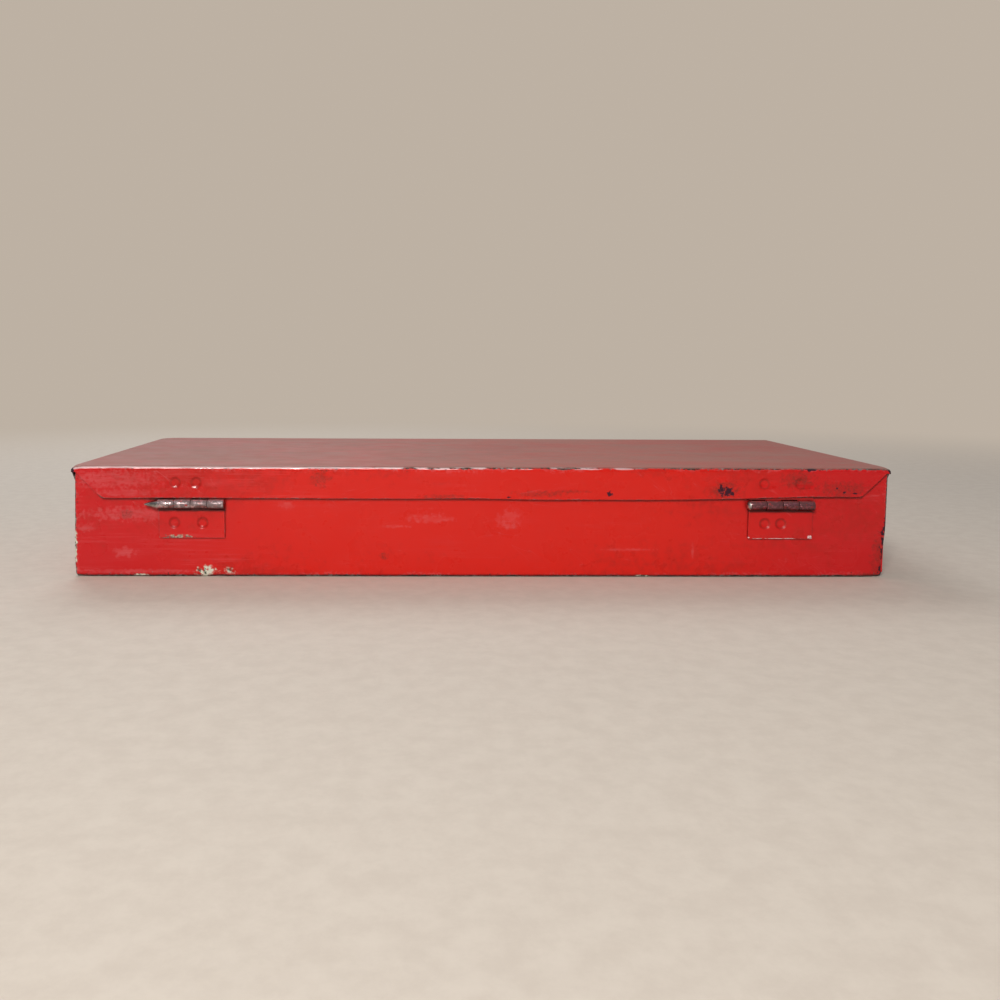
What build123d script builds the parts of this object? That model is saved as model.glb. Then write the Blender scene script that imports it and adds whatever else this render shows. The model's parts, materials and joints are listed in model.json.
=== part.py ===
from build123d import *
import math
import os

# Slim sheet steel tool case with a hinged lid, drawn closed and lying on its base.
# X runs along the width, Y from the latch side to the hinge side, Z up from the underside.
# All sizes are in millimetres.

# Case shell
LID_WIDTH = 482.0
LID_DEPTH = 214.0
CASE_HEIGHT = 65.5
SHEET = 1.0
LID_FLANGE_HEIGHT = 18.5
LID_BEND_RADIUS = 1.8
BASE_BEND_RADIUS = 2.0
END_CLEARANCE = 1.0
RIM_CLEARANCE = 0.3
RIM_ROUND = 0.45
HEM_HEIGHT = 8.0
CORNER_TAB_LENGTH = 18.0

# Mitred ends of the lid flanges: each end is cut from a short closed corner to the lower edge
MITRE_RUN = 18.0
MITRE_CORNER = 3.0

# Butt hinges: two leaves, four knuckles and a pin each, set in from the lid's ends
HINGE_INSET = {"right": 70.0, "left": 65.5}
LEAF_WIDTH = 38.0
LEAF_REACH = 20.0
LEAF_THICKNESS = 1.2
LEAF_GAP = 0.3
PIVOT_DROP = 3.7
PIN_RADIUS = 1.55
PIN_CLEARANCE = 0.05
KNUCKLE_COUNT = 4
KNUCKLE_GAP = 0.3
KNUCKLE_NOTCH_CLEARANCE = 0.5
PIN_POINT_LENGTH = 8.0
PIN_TIP_RADIUS = 0.4
PIN_TIP_ROUND = 0.2
PIN_DOME_LENGTH = 2.0
PIN_END_RECESS = 1.5

# Spot weld marks, as shallow round dents with a distance from each hinge's middle
WELD_DIAMETER = 7.4
WELD_DEPTH = 0.5
LOWER_WELD_DROP = 11.0
UPPER_WELD_RISE = 12.7
LOWER_WELD_X = {"right": (10.2, -6.2), "left": (9.2, -0.3)}
UPPER_WELD_X = {"right": (9.2, -2.8), "left": (10.4, -11.0)}
CORNER_WELD_COUNT = 3
CORNER_WELD_INSET = 9.0

# Draw latches: plate and ears, lever, wire loop, and a hooked keeper on the lid
LATCH_INSET = 91.0
LATCH_STOCK = 1.0
LATCH_PLATE_WIDTH = 24.0
LATCH_PLATE_RISE = 4.0
LATCH_PLATE_DROP = 24.5
LATCH_PIVOT_DROP = 10.0
LATCH_PIVOT_REACH = 5.0
LATCH_PIN_RADIUS = 1.0
LATCH_PIN_CAP_RADIUS = 1.5
LATCH_PIN_CAP_HEIGHT = 0.5
EAR_RADIUS = 2.3
EAR_CLEARANCE = 0.4
LEVER_WIDTH = 19.8
LEVER_SIDE_RADIUS = 3.4
LEVER_STRAIGHT = 19.5
LEVER_WEB_START = 1.5
LEVER_SIDE_SETBACK = 0.5
LIP_RADIUS = 3.5
LOOP_PIVOT_DROP = 6.0
LOOP_PIVOT_INSET = 0.8
LOOP_WIRE_RADIUS = 1.0
LOOP_SIDE_CLEARANCE = 0.6
LOOP_CORNER_RADIUS = 3.0
BAR_RISE = 4.5
HOOK_CLEARANCE = 0.4
HOOK_LIP_RISE = 2.0
KEEPER_STOCK = 0.8
KEEPER_WIDTH = 18.0
KEEPER_TOP_DROP = 3.5

# Bail handle and its two saddles
BAIL_WIRE_RADIUS = 2.25
BAIL_LEG_SPACING = 100.0
BAIL_DROP = 27.0
BAIL_PIVOT_DROP = 10.0
BAIL_PIVOT_BEND = 4.0
BAIL_GRIP_BEND = 8.0
BAIL_CLEARANCE = 0.1
BAIL_END_PROUD = 2.0
SADDLE_STOCK = 1.2
SADDLE_WIDTH = 12.0
SADDLE_FOOT = 5.5

# Rivets
RIVET_SHANK_RADIUS = 1.2
RIVET_HEAD_RADIUS = 2.4
RIVET_HEAD_HEIGHT = 1.0
RIVET_TAIL_RADIUS = 1.9
RIVET_TAIL_HEIGHT = 0.5
RIVET_HOLE_CLEARANCE = 0.05
LATCH_RIVET_DROPS = (9.0, 19.0)
KEEPER_RIVET_SPACING = 9.0
KEEPER_RIVET_DROP = 7.0

# Places that follow from the sizes above
LID_CLEARANCE = LEAF_GAP + LEAF_THICKNESS
OVERHANG = LID_CLEARANCE + SHEET
HINGE_X = {
    "right": LID_WIDTH / 2 - HINGE_INSET["right"],
    "left": HINGE_INSET["left"] - LID_WIDTH / 2,
}
LATCH_X = {"right": LID_WIDTH / 2 - LATCH_INSET, "left": LATCH_INSET - LID_WIDTH / 2}
BASE_WIDTH = LID_WIDTH - 2 * (END_CLEARANCE + SHEET)
BASE_DEPTH = LID_DEPTH - 2 * OVERHANG
RIM_HEIGHT = CASE_HEIGHT - SHEET - RIM_CLEARANCE
FLANGE_LOW = CASE_HEIGHT - LID_FLANGE_HEIGHT
BACK_FACE = BASE_DEPTH / 2
KNUCKLE_BORE = PIN_RADIUS + PIN_CLEARANCE
KNUCKLE_RADIUS = KNUCKLE_BORE + LEAF_THICKNESS
PIVOT_Y = BACK_FACE + LEAF_GAP + KNUCKLE_RADIUS
PIVOT_Z = FLANGE_LOW - PIVOT_DROP
LATCH_PIVOT_Z = FLANGE_LOW - LATCH_PIVOT_DROP
EAR_OUTER = LEVER_WIDTH / 2 - LATCH_STOCK - EAR_CLEARANCE
WEB_INNER = EAR_RADIUS + LEAF_GAP
LOOP_PIVOT_F = LATCH_PIVOT_REACH - LOOP_PIVOT_INSET
LOOP_PIVOT_Z = LATCH_PIVOT_Z - LOOP_PIVOT_DROP
LOOP_LEG_X = LEVER_WIDTH / 2 + LOOP_SIDE_CLEARANCE + LOOP_WIRE_RADIUS
HOOK_INNER = LOOP_WIRE_RADIUS + HOOK_CLEARANCE
BAR_F = OVERHANG + KEEPER_STOCK + HOOK_INNER
BAR_Z = FLANGE_LOW + BAR_RISE
LOOP_LENGTH = math.hypot(BAR_F - LOOP_PIVOT_F, BAR_Z - LOOP_PIVOT_Z)
BAIL_PIVOT_F = BAIL_WIRE_RADIUS + BAIL_CLEARANCE
BAIL_PIVOT_Z = FLANGE_LOW - BAIL_PIVOT_DROP
SADDLE_X = BAIL_LEG_SPACING / 2 + BAIL_PIVOT_BEND + SADDLE_WIDTH / 2
SADDLE_RIVET_OFFSET = BAIL_PIVOT_F + SADDLE_STOCK + SADDLE_FOOT / 2


def front_y(forward):
    """The Y of a point that stands this far forward of the base's front wall."""
    return -BASE_DEPTH / 2 - forward


def block(x_range, y_range, z_range):
    """A box between two X, two Y and two Z values, each given in either order."""
    sizes = [abs(b - a) for a, b in (x_range, y_range, z_range)]
    middle = [(a + b) / 2 for a, b in (x_range, y_range, z_range)]
    return Pos(*middle) * Box(*sizes)


def rod_x(radius, x_range, y, z):
    """A round bar along X."""
    start, end = sorted(x_range)
    return Pos((start + end) / 2, y, z) * Rot(0, 90, 0) * Cylinder(radius, end - start)


def rod_y(radius, x, y_range, z):
    """A round bar along Y."""
    start, end = sorted(y_range)
    return Pos(x, (start + end) / 2, z) * Rot(90, 0, 0) * Cylinder(radius, end - start)


def weld_dent(x, y, z, outward):
    """The round tool that leaves a shallow spot weld mark in a face with this outward direction."""
    ball = (WELD_DIAMETER ** 2 / 4 + WELD_DEPTH ** 2) / (2 * WELD_DEPTH)
    reach = ball - WELD_DEPTH
    return Pos(x + outward[0] * reach, y + outward[1] * reach, z) * Sphere(ball)


def rivet(x, head_f, tail_f, z):
    """A domed rivet through the front wall or flange, from its head's seat to its tail's seat."""
    shank = rod_y(RIVET_SHANK_RADIUS, x, (front_y(head_f), front_y(tail_f)), z)
    head = rivet_cap(RIVET_HEAD_RADIUS, RIVET_HEAD_HEIGHT)
    tail = rivet_cap(RIVET_TAIL_RADIUS, RIVET_TAIL_HEIGHT)
    head = Pos(x, front_y(head_f), z) * Rot(90, 0, 0) * head
    tail = Pos(x, front_y(tail_f), z) * Rot(-90, 0, 0) * tail
    return shank + head + tail


def rivet_cap(radius, height):
    """A low dome that stands on Z zero."""
    ball = (radius ** 2 + height ** 2) / (2 * height)
    dome = Pos(0, 0, height - ball) * Sphere(ball)
    return dome & Pos(0, 0, height / 2) * Cylinder(radius, height)


def rivet_hole(x, z, f_range):
    """The clearance hole for a rivet's shank through a front wall or flange."""
    y_range = [front_y(f) for f in f_range]
    return rod_y(RIVET_SHANK_RADIUS + RIVET_HOLE_CLEARANCE, x, y_range, z)


def latch_rivet_places():
    return [(x, LATCH_PIVOT_Z - drop) for x in LATCH_X.values() for drop in LATCH_RIVET_DROPS]


def keeper_rivet_places(x):
    half = KEEPER_RIVET_SPACING / 2
    return [(x + side * half, CASE_HEIGHT - KEEPER_RIVET_DROP) for side in (-1, 1)]


def saddle_rivet_places(side):
    return [(side * SADDLE_X, BAIL_PIVOT_Z + up * SADDLE_RIVET_OFFSET) for up in (-1, 1)]


def rounded_tray(width, depth, low, high, corner, bottom):
    """A block with rounded upright corners and a rounded lower edge."""
    body = block((-width / 2, width / 2), (-depth / 2, depth / 2), (low, high))
    body = fillet(body.edges().filter_by(Axis.Z), corner)
    return fillet(body.faces().sort_by(Axis.Z)[0].edges(), bottom)


def base_pan():
    """The lower tray: floor, four walls with a hemmed rim, and welded tabs inside the end walls."""
    inner_bend = BASE_BEND_RADIUS - SHEET
    pan = rounded_tray(BASE_WIDTH, BASE_DEPTH, 0, RIM_HEIGHT, BASE_BEND_RADIUS, BASE_BEND_RADIUS)
    pan -= rounded_tray(
        BASE_WIDTH - 2 * SHEET, BASE_DEPTH - 2 * SHEET, SHEET, RIM_HEIGHT, inner_bend, inner_bend
    )
    hem_outer = block(
        (-BASE_WIDTH / 2 + SHEET / 2, BASE_WIDTH / 2 - SHEET / 2),
        (-BASE_DEPTH / 2 + SHEET / 2, BASE_DEPTH / 2 - SHEET / 2),
        (RIM_HEIGHT - HEM_HEIGHT, RIM_HEIGHT),
    )
    hem_outer = fillet(hem_outer.edges().filter_by(Axis.Z), BASE_BEND_RADIUS - SHEET / 2)
    hem_inner = block(
        (-BASE_WIDTH / 2 + 2 * SHEET, BASE_WIDTH / 2 - 2 * SHEET),
        (-BASE_DEPTH / 2 + 2 * SHEET, BASE_DEPTH / 2 - 2 * SHEET),
        (RIM_HEIGHT - HEM_HEIGHT, RIM_HEIGHT),
    )
    pan += hem_outer - hem_inner
    pan = fillet(pan.faces().sort_by(Axis.Z)[-1].edges(), RIM_ROUND)
    for x_side in (-1, 1):
        for y_side in (-1, 1):
            pan += corner_tab(x_side, y_side)
            for mark in corner_weld_marks(x_side, y_side):
                pan -= mark
    for x, z in latch_rivet_places() + saddle_rivet_places(-1) + saddle_rivet_places(1):
        pan -= rivet_hole(x, z, (-2 * SHEET, SHEET))
    return pan


def corner_tab(x_side, y_side):
    """A tab that the front or back wall folds round onto the inside of an end wall."""
    outer_x = x_side * (BASE_WIDTH / 2 - SHEET / 2)
    inner_x = x_side * (BASE_WIDTH / 2 - 2 * SHEET)
    outer_y = y_side * (BASE_DEPTH / 2 - SHEET / 2)
    inner_y = y_side * (BASE_DEPTH / 2 - SHEET - CORNER_TAB_LENGTH)
    low = BASE_BEND_RADIUS + SHEET
    tab = block((outer_x, inner_x), (outer_y, inner_y), (low, RIM_HEIGHT - HEM_HEIGHT))
    return tab & block(
        (-BASE_WIDTH, BASE_WIDTH),
        (-BASE_DEPTH / 2 + SHEET / 2, BASE_DEPTH / 2 - SHEET / 2),
        (0, RIM_HEIGHT),
    )


def corner_weld_marks(x_side, y_side):
    """A column of spot weld marks on the outside of an end wall, over its corner tab."""
    first = BASE_BEND_RADIUS + CORNER_WELD_INSET
    last = RIM_HEIGHT - HEM_HEIGHT - CORNER_WELD_INSET
    step = (last - first) / (CORNER_WELD_COUNT - 1)
    y = y_side * (BASE_DEPTH / 2 - SHEET - CORNER_WELD_INSET)
    return [
        weld_dent(x_side * BASE_WIDTH / 2, y, first + i * step, (x_side, 0))
        for i in range(CORNER_WELD_COUNT)
    ]


def lid_pan():
    """The lid: a flat top with four flanges bent down, their ends mitred at the corners."""
    outer = block(
        (-LID_WIDTH / 2, LID_WIDTH / 2), (-LID_DEPTH / 2, LID_DEPTH / 2), (FLANGE_LOW, CASE_HEIGHT)
    )
    outer = fillet(outer.edges().filter_by(Axis.Z), LID_BEND_RADIUS)
    outer = fillet(outer.faces().sort_by(Axis.Z)[-1].edges(), LID_BEND_RADIUS)
    half_width = LID_WIDTH / 2 - SHEET
    half_depth = LID_DEPTH / 2 - SHEET
    inner = block(
        (-half_width, half_width), (-half_depth, half_depth), (FLANGE_LOW, CASE_HEIGHT - SHEET)
    )
    inner_bend = LID_BEND_RADIUS - SHEET
    inner = fillet(inner.edges().filter_by(Axis.Z), inner_bend)
    inner = fillet(inner.faces().sort_by(Axis.Z)[-1].edges(), inner_bend)
    lid = outer - inner
    for side in (-1, 1):
        for cutter in mitre_cutters(side):
            lid -= cutter
    for name, x in HINGE_X.items():
        for offset in UPPER_WELD_X[name]:
            lid -= weld_dent(x + offset, LID_DEPTH / 2, PIVOT_Z + UPPER_WELD_RISE, (0, 1))
    for x in LATCH_X.values():
        for rivet_x, z in keeper_rivet_places(x):
            lid -= rivet_hole(rivet_x, z, (LID_CLEARANCE - SHEET, OVERHANG + SHEET))
    return lid


def mitre_outline(half_length):
    """The corner cut from one end of a flange, as points along the flange and in Z."""
    return [
        (half_length - MITRE_CORNER, CASE_HEIGHT - MITRE_CORNER),
        (half_length + SHEET, CASE_HEIGHT - MITRE_CORNER),
        (half_length + SHEET, FLANGE_LOW - SHEET),
        (half_length - MITRE_RUN, FLANGE_LOW - SHEET),
        (half_length - MITRE_RUN, FLANGE_LOW),
    ]


def mitre_cutters(side):
    """The tools that mitre the flange ends at the corners on one side of the case."""
    long_cut = make_face(Polyline(*mitre_outline(LID_WIDTH / 2), close=True))
    end_cut = make_face(Polyline(*mitre_outline(LID_DEPTH / 2), close=True))
    thickness = LID_CLEARANCE + 2 * SHEET
    cutters = []
    for y_side in (-1, 1):
        cut = extrude(Plane.XZ * long_cut, thickness / 2, both=True)
        if side < 0:
            cut = mirror(cut, Plane.YZ)
        cutters.append(Pos(0, y_side * (LID_DEPTH / 2 - SHEET + thickness / 2), 0) * cut)
        cut = extrude(Plane.YZ * end_cut, thickness / 2, both=True)
        if y_side < 0:
            cut = mirror(cut, Plane.XZ)
        cutters.append(Pos(side * (LID_WIDTH / 2 - SHEET + thickness / 2), 0, 0) * cut)
    return cutters


def knuckle_spans(x_middle):
    """The X spans of the knuckles, from the right end of the hinge to its left end."""
    pitch = (LEAF_WIDTH + KNUCKLE_GAP) / KNUCKLE_COUNT
    start = x_middle + LEAF_WIDTH / 2
    return [
        (start - i * pitch, start - (i + 1) * pitch + KNUCKLE_GAP) for i in range(KNUCKLE_COUNT)
    ]


def hinge_leaf(x_middle, direction, inner_face, spans):
    """A leaf that runs up or down from the pivot, with its share of the rolled knuckles."""
    x_range = (x_middle - LEAF_WIDTH / 2, x_middle + LEAF_WIDTH / 2)
    outer_face = inner_face + LEAF_THICKNESS
    notch = PIVOT_Z + direction * (KNUCKLE_RADIUS + KNUCKLE_NOTCH_CLEARANCE)
    leaf = block(x_range, (inner_face, outer_face), (notch, PIVOT_Z + direction * LEAF_REACH))
    for span in spans:
        curl = rod_x(KNUCKLE_RADIUS, span, PIVOT_Y, PIVOT_Z)
        curl += block(span, (inner_face, PIVOT_Y - KNUCKLE_BORE), (PIVOT_Z, notch))
        leaf += curl
    for span in spans:
        leaf -= rod_x(KNUCKLE_BORE, span, PIVOT_Y, PIVOT_Z)
    return leaf


def lower_leaf(name):
    """The leaf welded on the outside of the base's back wall."""
    x = HINGE_X[name]
    leaf = hinge_leaf(x, -1, BACK_FACE, knuckle_spans(x)[0::2])
    for offset in LOWER_WELD_X[name]:
        y = BACK_FACE + LEAF_THICKNESS
        leaf -= weld_dent(x + offset, y, PIVOT_Z - LOWER_WELD_DROP, (0, 1))
    return leaf


def upper_leaf(name):
    """The leaf welded behind the lid's back flange."""
    x = HINGE_X[name]
    return hinge_leaf(x, 1, BACK_FACE + LEAF_GAP, knuckle_spans(x)[1::2])


def hinge_pin(name):
    """The hinge pin: pointed head on the right hinge, domed head on the left one."""
    x = HINGE_X[name]
    seat = x + LEAF_WIDTH / 2
    pin = rod_x(PIN_RADIUS, (x - LEAF_WIDTH / 2 + PIN_END_RECESS, seat), PIVOT_Y, PIVOT_Z)
    head_radius = KNUCKLE_RADIUS - PIN_CLEARANCE
    length = PIN_POINT_LENGTH if name == "right" else PIN_DOME_LENGTH
    if name == "right":
        point = Pos(length / 2, 0, 0) * Rot(0, 90, 0) * Cone(head_radius, PIN_TIP_RADIUS, length)
        head = fillet(point.faces().sort_by(Axis.X)[-1].edges(), PIN_TIP_ROUND)
    else:
        head = Rot(0, 90, 0) * rivet_cap(head_radius, length)
    return pin + Pos(seat, PIVOT_Y, PIVOT_Z) * head


def latch_plate(name):
    """The latch's back plate, with two ears bent forward to carry the lever's pin."""
    x = LATCH_X[name]
    half = LATCH_PLATE_WIDTH / 2
    plate = block(
        (x - half, x + half),
        (front_y(0), front_y(LATCH_STOCK)),
        (LATCH_PIVOT_Z - LATCH_PLATE_DROP, LATCH_PIVOT_Z + LATCH_PLATE_RISE),
    )
    plate = fillet(plate.edges().filter_by(Axis.Y), LATCH_STOCK)
    for side in (-1, 1):
        span = (x + side * EAR_OUTER, x + side * (EAR_OUTER - LATCH_STOCK))
        plate += rod_x(EAR_RADIUS, span, front_y(LATCH_PIVOT_REACH), LATCH_PIVOT_Z)
        plate += block(
            span,
            (front_y(0), front_y(LATCH_PIVOT_REACH)),
            (LATCH_PIVOT_Z - EAR_RADIUS, LATCH_PIVOT_Z + EAR_RADIUS),
        )
    bore = LATCH_PIN_RADIUS + PIN_CLEARANCE
    plate -= rod_x(bore, (x - half, x + half), front_y(LATCH_PIVOT_REACH), LATCH_PIVOT_Z)
    for drop in LATCH_RIVET_DROPS:
        plate -= rivet_hole(x, LATCH_PIVOT_Z - drop, (-SHEET, LATCH_STOCK + SHEET))
    return plate


def latch_lever(name):
    """The pressed lever: a channel over the ears, with a curled finger lip at its lower end."""
    x = LATCH_X[name]
    half = LEVER_WIDTH / 2
    web = (LATCH_PIVOT_REACH + WEB_INNER, LATCH_PIVOT_REACH + WEB_INNER + LATCH_STOCK)
    low = LATCH_PIVOT_Z - LEVER_STRAIGHT
    lever = block(
        (x - half, x + half), [front_y(f) for f in web], (low, LATCH_PIVOT_Z - LEVER_WEB_START)
    )
    side_back = LATCH_PIVOT_REACH - LEVER_SIDE_RADIUS + LEVER_SIDE_SETBACK
    for side in (-1, 1):
        span = (x + side * half, x + side * (half - LATCH_STOCK))
        lever += rod_x(LEVER_SIDE_RADIUS, span, front_y(LATCH_PIVOT_REACH), LATCH_PIVOT_Z)
        lever += block(span, (front_y(side_back), front_y(web[0])), (low, LATCH_PIVOT_Z))
    lip_f = web[0] + LIP_RADIUS
    lip = rod_x(LIP_RADIUS, (x - half, x + half), front_y(lip_f), low)
    lip -= rod_x(LIP_RADIUS - LATCH_STOCK, (x - half, x + half), front_y(lip_f), low)
    lip &= block((x - half, x + half), (front_y(web[0]), front_y(lip_f)), (low, low - LIP_RADIUS))
    lever += lip
    pin_bore = LATCH_PIN_RADIUS + PIN_CLEARANCE
    wire_bore = LOOP_WIRE_RADIUS + PIN_CLEARANCE
    lever -= rod_x(pin_bore, (x - half, x + half), front_y(LATCH_PIVOT_REACH), LATCH_PIVOT_Z)
    lever -= rod_x(wire_bore, (x - half, x + half), front_y(LOOP_PIVOT_F), LOOP_PIVOT_Z)
    return lever


def latch_pin(name):
    """The riveted pin through the ears and the lever's sides."""
    x = LATCH_X[name]
    end = LEVER_WIDTH / 2 + PIN_CLEARANCE
    y = front_y(LATCH_PIVOT_REACH)
    pin = rod_x(LATCH_PIN_RADIUS, (x - end, x + end), y, LATCH_PIVOT_Z)
    cap = rivet_cap(LATCH_PIN_CAP_RADIUS, LATCH_PIN_CAP_HEIGHT)
    for side in (-1, 1):
        pin += Pos(x + side * end, y, LATCH_PIVOT_Z) * Rot(0, side * 90, 0) * cap
    return pin


def latch_loop(name):
    """The wire loop, hanging from the lever: two legs, a cross bar and ends turned into the lever."""
    x = LATCH_X[name]
    y = front_y(LOOP_PIVOT_F)
    inner = LEVER_WIDTH / 2 - LATCH_STOCK
    low = LOOP_PIVOT_Z - LOOP_LENGTH
    stub_bend = LOOP_WIRE_RADIUS + PIN_CLEARANCE
    path = FilletPolyline(
        (x - inner, y, LOOP_PIVOT_Z),
        (x - LOOP_LEG_X, y, LOOP_PIVOT_Z),
        (x - LOOP_LEG_X, y, low),
        (x + LOOP_LEG_X, y, low),
        (x + LOOP_LEG_X, y, LOOP_PIVOT_Z),
        (x + inner, y, LOOP_PIVOT_Z),
        radius=[stub_bend, LOOP_CORNER_RADIUS, LOOP_CORNER_RADIUS, stub_bend],
    )
    return sweep(Plane(path @ 0, z_dir=path % 0) * Circle(LOOP_WIRE_RADIUS), path)


def keeper(name):
    """The lid's keeper: a riveted plate whose lower end curls forward and up into a hook."""
    x = LATCH_X[name]
    span = (x - KEEPER_WIDTH / 2, x + KEEPER_WIDTH / 2)
    hook_outer = HOOK_INNER + KEEPER_STOCK
    y = front_y(BAR_F)
    hook = rod_x(hook_outer, span, y, BAR_Z) - rod_x(HOOK_INNER, span, y, BAR_Z)
    hook &= block(span, (y - hook_outer, y + hook_outer), (BAR_Z - hook_outer, BAR_Z))
    lip = (front_y(BAR_F + HOOK_INNER), front_y(BAR_F + hook_outer))
    hook += block(span, lip, (BAR_Z, BAR_Z + HOOK_LIP_RISE))
    plate = (front_y(OVERHANG), front_y(OVERHANG + KEEPER_STOCK))
    hook += block(span, plate, (BAR_Z, CASE_HEIGHT - KEEPER_TOP_DROP))
    for rivet_x, z in keeper_rivet_places(x):
        hook -= rivet_hole(rivet_x, z, (LID_CLEARANCE, OVERHANG + 2 * KEEPER_STOCK))
    return hook


def handle_bail():
    """The wire handle, hanging flat against the front wall."""
    leg = BAIL_LEG_SPACING / 2
    end = SADDLE_X + SADDLE_WIDTH / 2 + BAIL_END_PROUD
    y = front_y(BAIL_PIVOT_F)
    low = BAIL_PIVOT_Z - BAIL_DROP
    path = FilletPolyline(
        (-end, y, BAIL_PIVOT_Z),
        (-leg, y, BAIL_PIVOT_Z),
        (-leg, y, low),
        (leg, y, low),
        (leg, y, BAIL_PIVOT_Z),
        (end, y, BAIL_PIVOT_Z),
        radius=[BAIL_PIVOT_BEND, BAIL_GRIP_BEND, BAIL_GRIP_BEND, BAIL_PIVOT_BEND],
    )
    return sweep(Plane(path @ 0, z_dir=path % 0) * Circle(BAIL_WIRE_RADIUS), path)


def handle_saddle(side):
    """A strip bent over one end of the handle, with a riveted foot above and below."""
    middle = side * SADDLE_X
    span = (middle - SADDLE_WIDTH / 2, middle + SADDLE_WIDTH / 2)
    y = front_y(BAIL_PIVOT_F)
    bore = BAIL_WIRE_RADIUS + BAIL_CLEARANCE
    outer = bore + SADDLE_STOCK
    wall = front_y(0)
    saddle = rod_x(outer, span, y, BAIL_PIVOT_Z)
    saddle += block(span, (wall, y), (BAIL_PIVOT_Z - outer, BAIL_PIVOT_Z + outer))
    foot = outer + SADDLE_FOOT
    saddle += block(
        span, (wall, front_y(SADDLE_STOCK)), (BAIL_PIVOT_Z - foot, BAIL_PIVOT_Z + foot)
    )
    saddle &= block(span, (wall, y - outer), (BAIL_PIVOT_Z - foot, BAIL_PIVOT_Z + foot))
    saddle -= rod_x(bore, span, y, BAIL_PIVOT_Z)
    saddle -= block(span, (wall, y), (BAIL_PIVOT_Z - bore, BAIL_PIVOT_Z + bore))
    for x, z in saddle_rivet_places(side):
        saddle -= rivet_hole(x, z, (-SHEET, SADDLE_STOCK + SHEET))
    return saddle


def rivet_group(places, head_f, tail_f):
    """Separate rivets that share one node."""
    return Compound(children=[Part(rivet(x, head_f, tail_f, z).wrapped) for x, z in places])


def build_nodes():
    """Every piece of the case, by its node name."""
    nodes = {"base_pan": base_pan(), "lid_pan": lid_pan(), "handle_bail": handle_bail()}
    for name in HINGE_X:
        nodes[f"{name}_hinge_lower_leaf"] = lower_leaf(name)
        nodes[f"{name}_hinge_upper_leaf"] = upper_leaf(name)
        nodes[f"{name}_hinge_pin"] = hinge_pin(name)
    for name in LATCH_X:
        nodes[f"{name}_latch_plate"] = latch_plate(name)
        nodes[f"{name}_latch_lever"] = latch_lever(name)
        nodes[f"{name}_latch_pin"] = latch_pin(name)
        nodes[f"{name}_latch_loop"] = latch_loop(name)
        nodes[f"{name}_latch_keeper"] = keeper(name)
        keeper_face = OVERHANG + KEEPER_STOCK
        nodes[f"{name}_keeper_rivets"] = rivet_group(
            keeper_rivet_places(LATCH_X[name]), keeper_face, LID_CLEARANCE
        )
    for name, side in (("right", 1), ("left", -1)):
        nodes[f"{name}_handle_saddle"] = handle_saddle(side)
    saddle_places = saddle_rivet_places(-1) + saddle_rivet_places(1)
    nodes["handle_rivets"] = rivet_group(saddle_places, SADDLE_STOCK, -SHEET)
    nodes["latch_plate_rivets"] = rivet_group(latch_rivet_places(), LATCH_STOCK, -SHEET)
    return nodes


def main():
    os.makedirs("parts", exist_ok=True)
    for name, shape in build_nodes().items():
        export_step(shape, f"parts/{name}.step")


main()
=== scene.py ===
# %% [markdown]
# # A worn red tool case, seen from its hinge side
# The case is two pans of folded sheet steel, one shut over the other, with welded hinges at the back
# and riveted latches and a handle at the front. The frame holds every piece at its real size and place.
# This script gives the pieces their finish, and folds the two big pans again as thin, slightly dented
# sheet, because old sheet steel is never as flat as a drawing.

# %% Load the fixed frame
import json
import math
from collections import namedtuple

import bpy
import numpy as np
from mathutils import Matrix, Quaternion, Vector, noise


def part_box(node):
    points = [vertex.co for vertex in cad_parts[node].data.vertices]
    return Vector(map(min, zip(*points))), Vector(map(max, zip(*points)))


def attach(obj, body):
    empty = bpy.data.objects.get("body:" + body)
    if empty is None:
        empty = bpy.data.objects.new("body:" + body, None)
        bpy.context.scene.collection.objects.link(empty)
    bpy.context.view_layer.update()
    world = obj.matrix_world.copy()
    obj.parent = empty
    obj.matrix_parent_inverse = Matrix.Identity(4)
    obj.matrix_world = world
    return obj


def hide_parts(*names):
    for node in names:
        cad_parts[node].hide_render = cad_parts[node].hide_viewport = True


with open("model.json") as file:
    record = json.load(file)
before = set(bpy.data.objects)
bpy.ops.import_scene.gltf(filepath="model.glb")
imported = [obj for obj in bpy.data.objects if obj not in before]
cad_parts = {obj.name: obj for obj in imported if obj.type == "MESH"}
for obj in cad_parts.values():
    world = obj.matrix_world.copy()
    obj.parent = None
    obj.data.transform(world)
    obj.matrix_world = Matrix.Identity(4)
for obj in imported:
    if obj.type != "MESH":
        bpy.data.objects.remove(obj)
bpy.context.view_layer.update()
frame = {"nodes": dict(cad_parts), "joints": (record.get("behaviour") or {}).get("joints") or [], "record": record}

# %% [markdown]
# ## Measures
# Everything below is in metres. What the frame knows is read from it: the boxes of the two pans, the
# hinge axis and the fittings. Only the sheet's own thickness and bends are written here, and they are
# the same as those of the real sheet.

# %% Measures of the case
MM = 0.001
lid_low, lid_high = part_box("lid_pan")
base_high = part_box("base_pan")[1]
hinge_axis = next(joint["pos_m"] for joint in frame["joints"] if joint["name"] == "lid_hinge")
SHEET = 1.0 * MM
LID_BEND = 1.8 * MM
BASE_BEND = 2.0 * MM
CLOSED_CORNER = 3.0 * MM
MITRE_RUN = 18.0 * MM
HEM_HEIGHT = 8.0 * MM
SIDES = ("right", "left")
hinge_middle = {side: sum(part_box(f"{side}_hinge_upper_leaf"), Vector()) / 2 for side in SIDES}
print("case size in mm:", [round(side / MM, 1) for side in lid_high - Vector((lid_low.x, lid_low.y, 0))])

# %% [markdown]
# ## Putting things in the scene
# Blender keeps a thing's data, such as its mesh or its lens, apart from the object that gives it a
# place. Every new object here is made and put in the scene in the same way.


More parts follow.
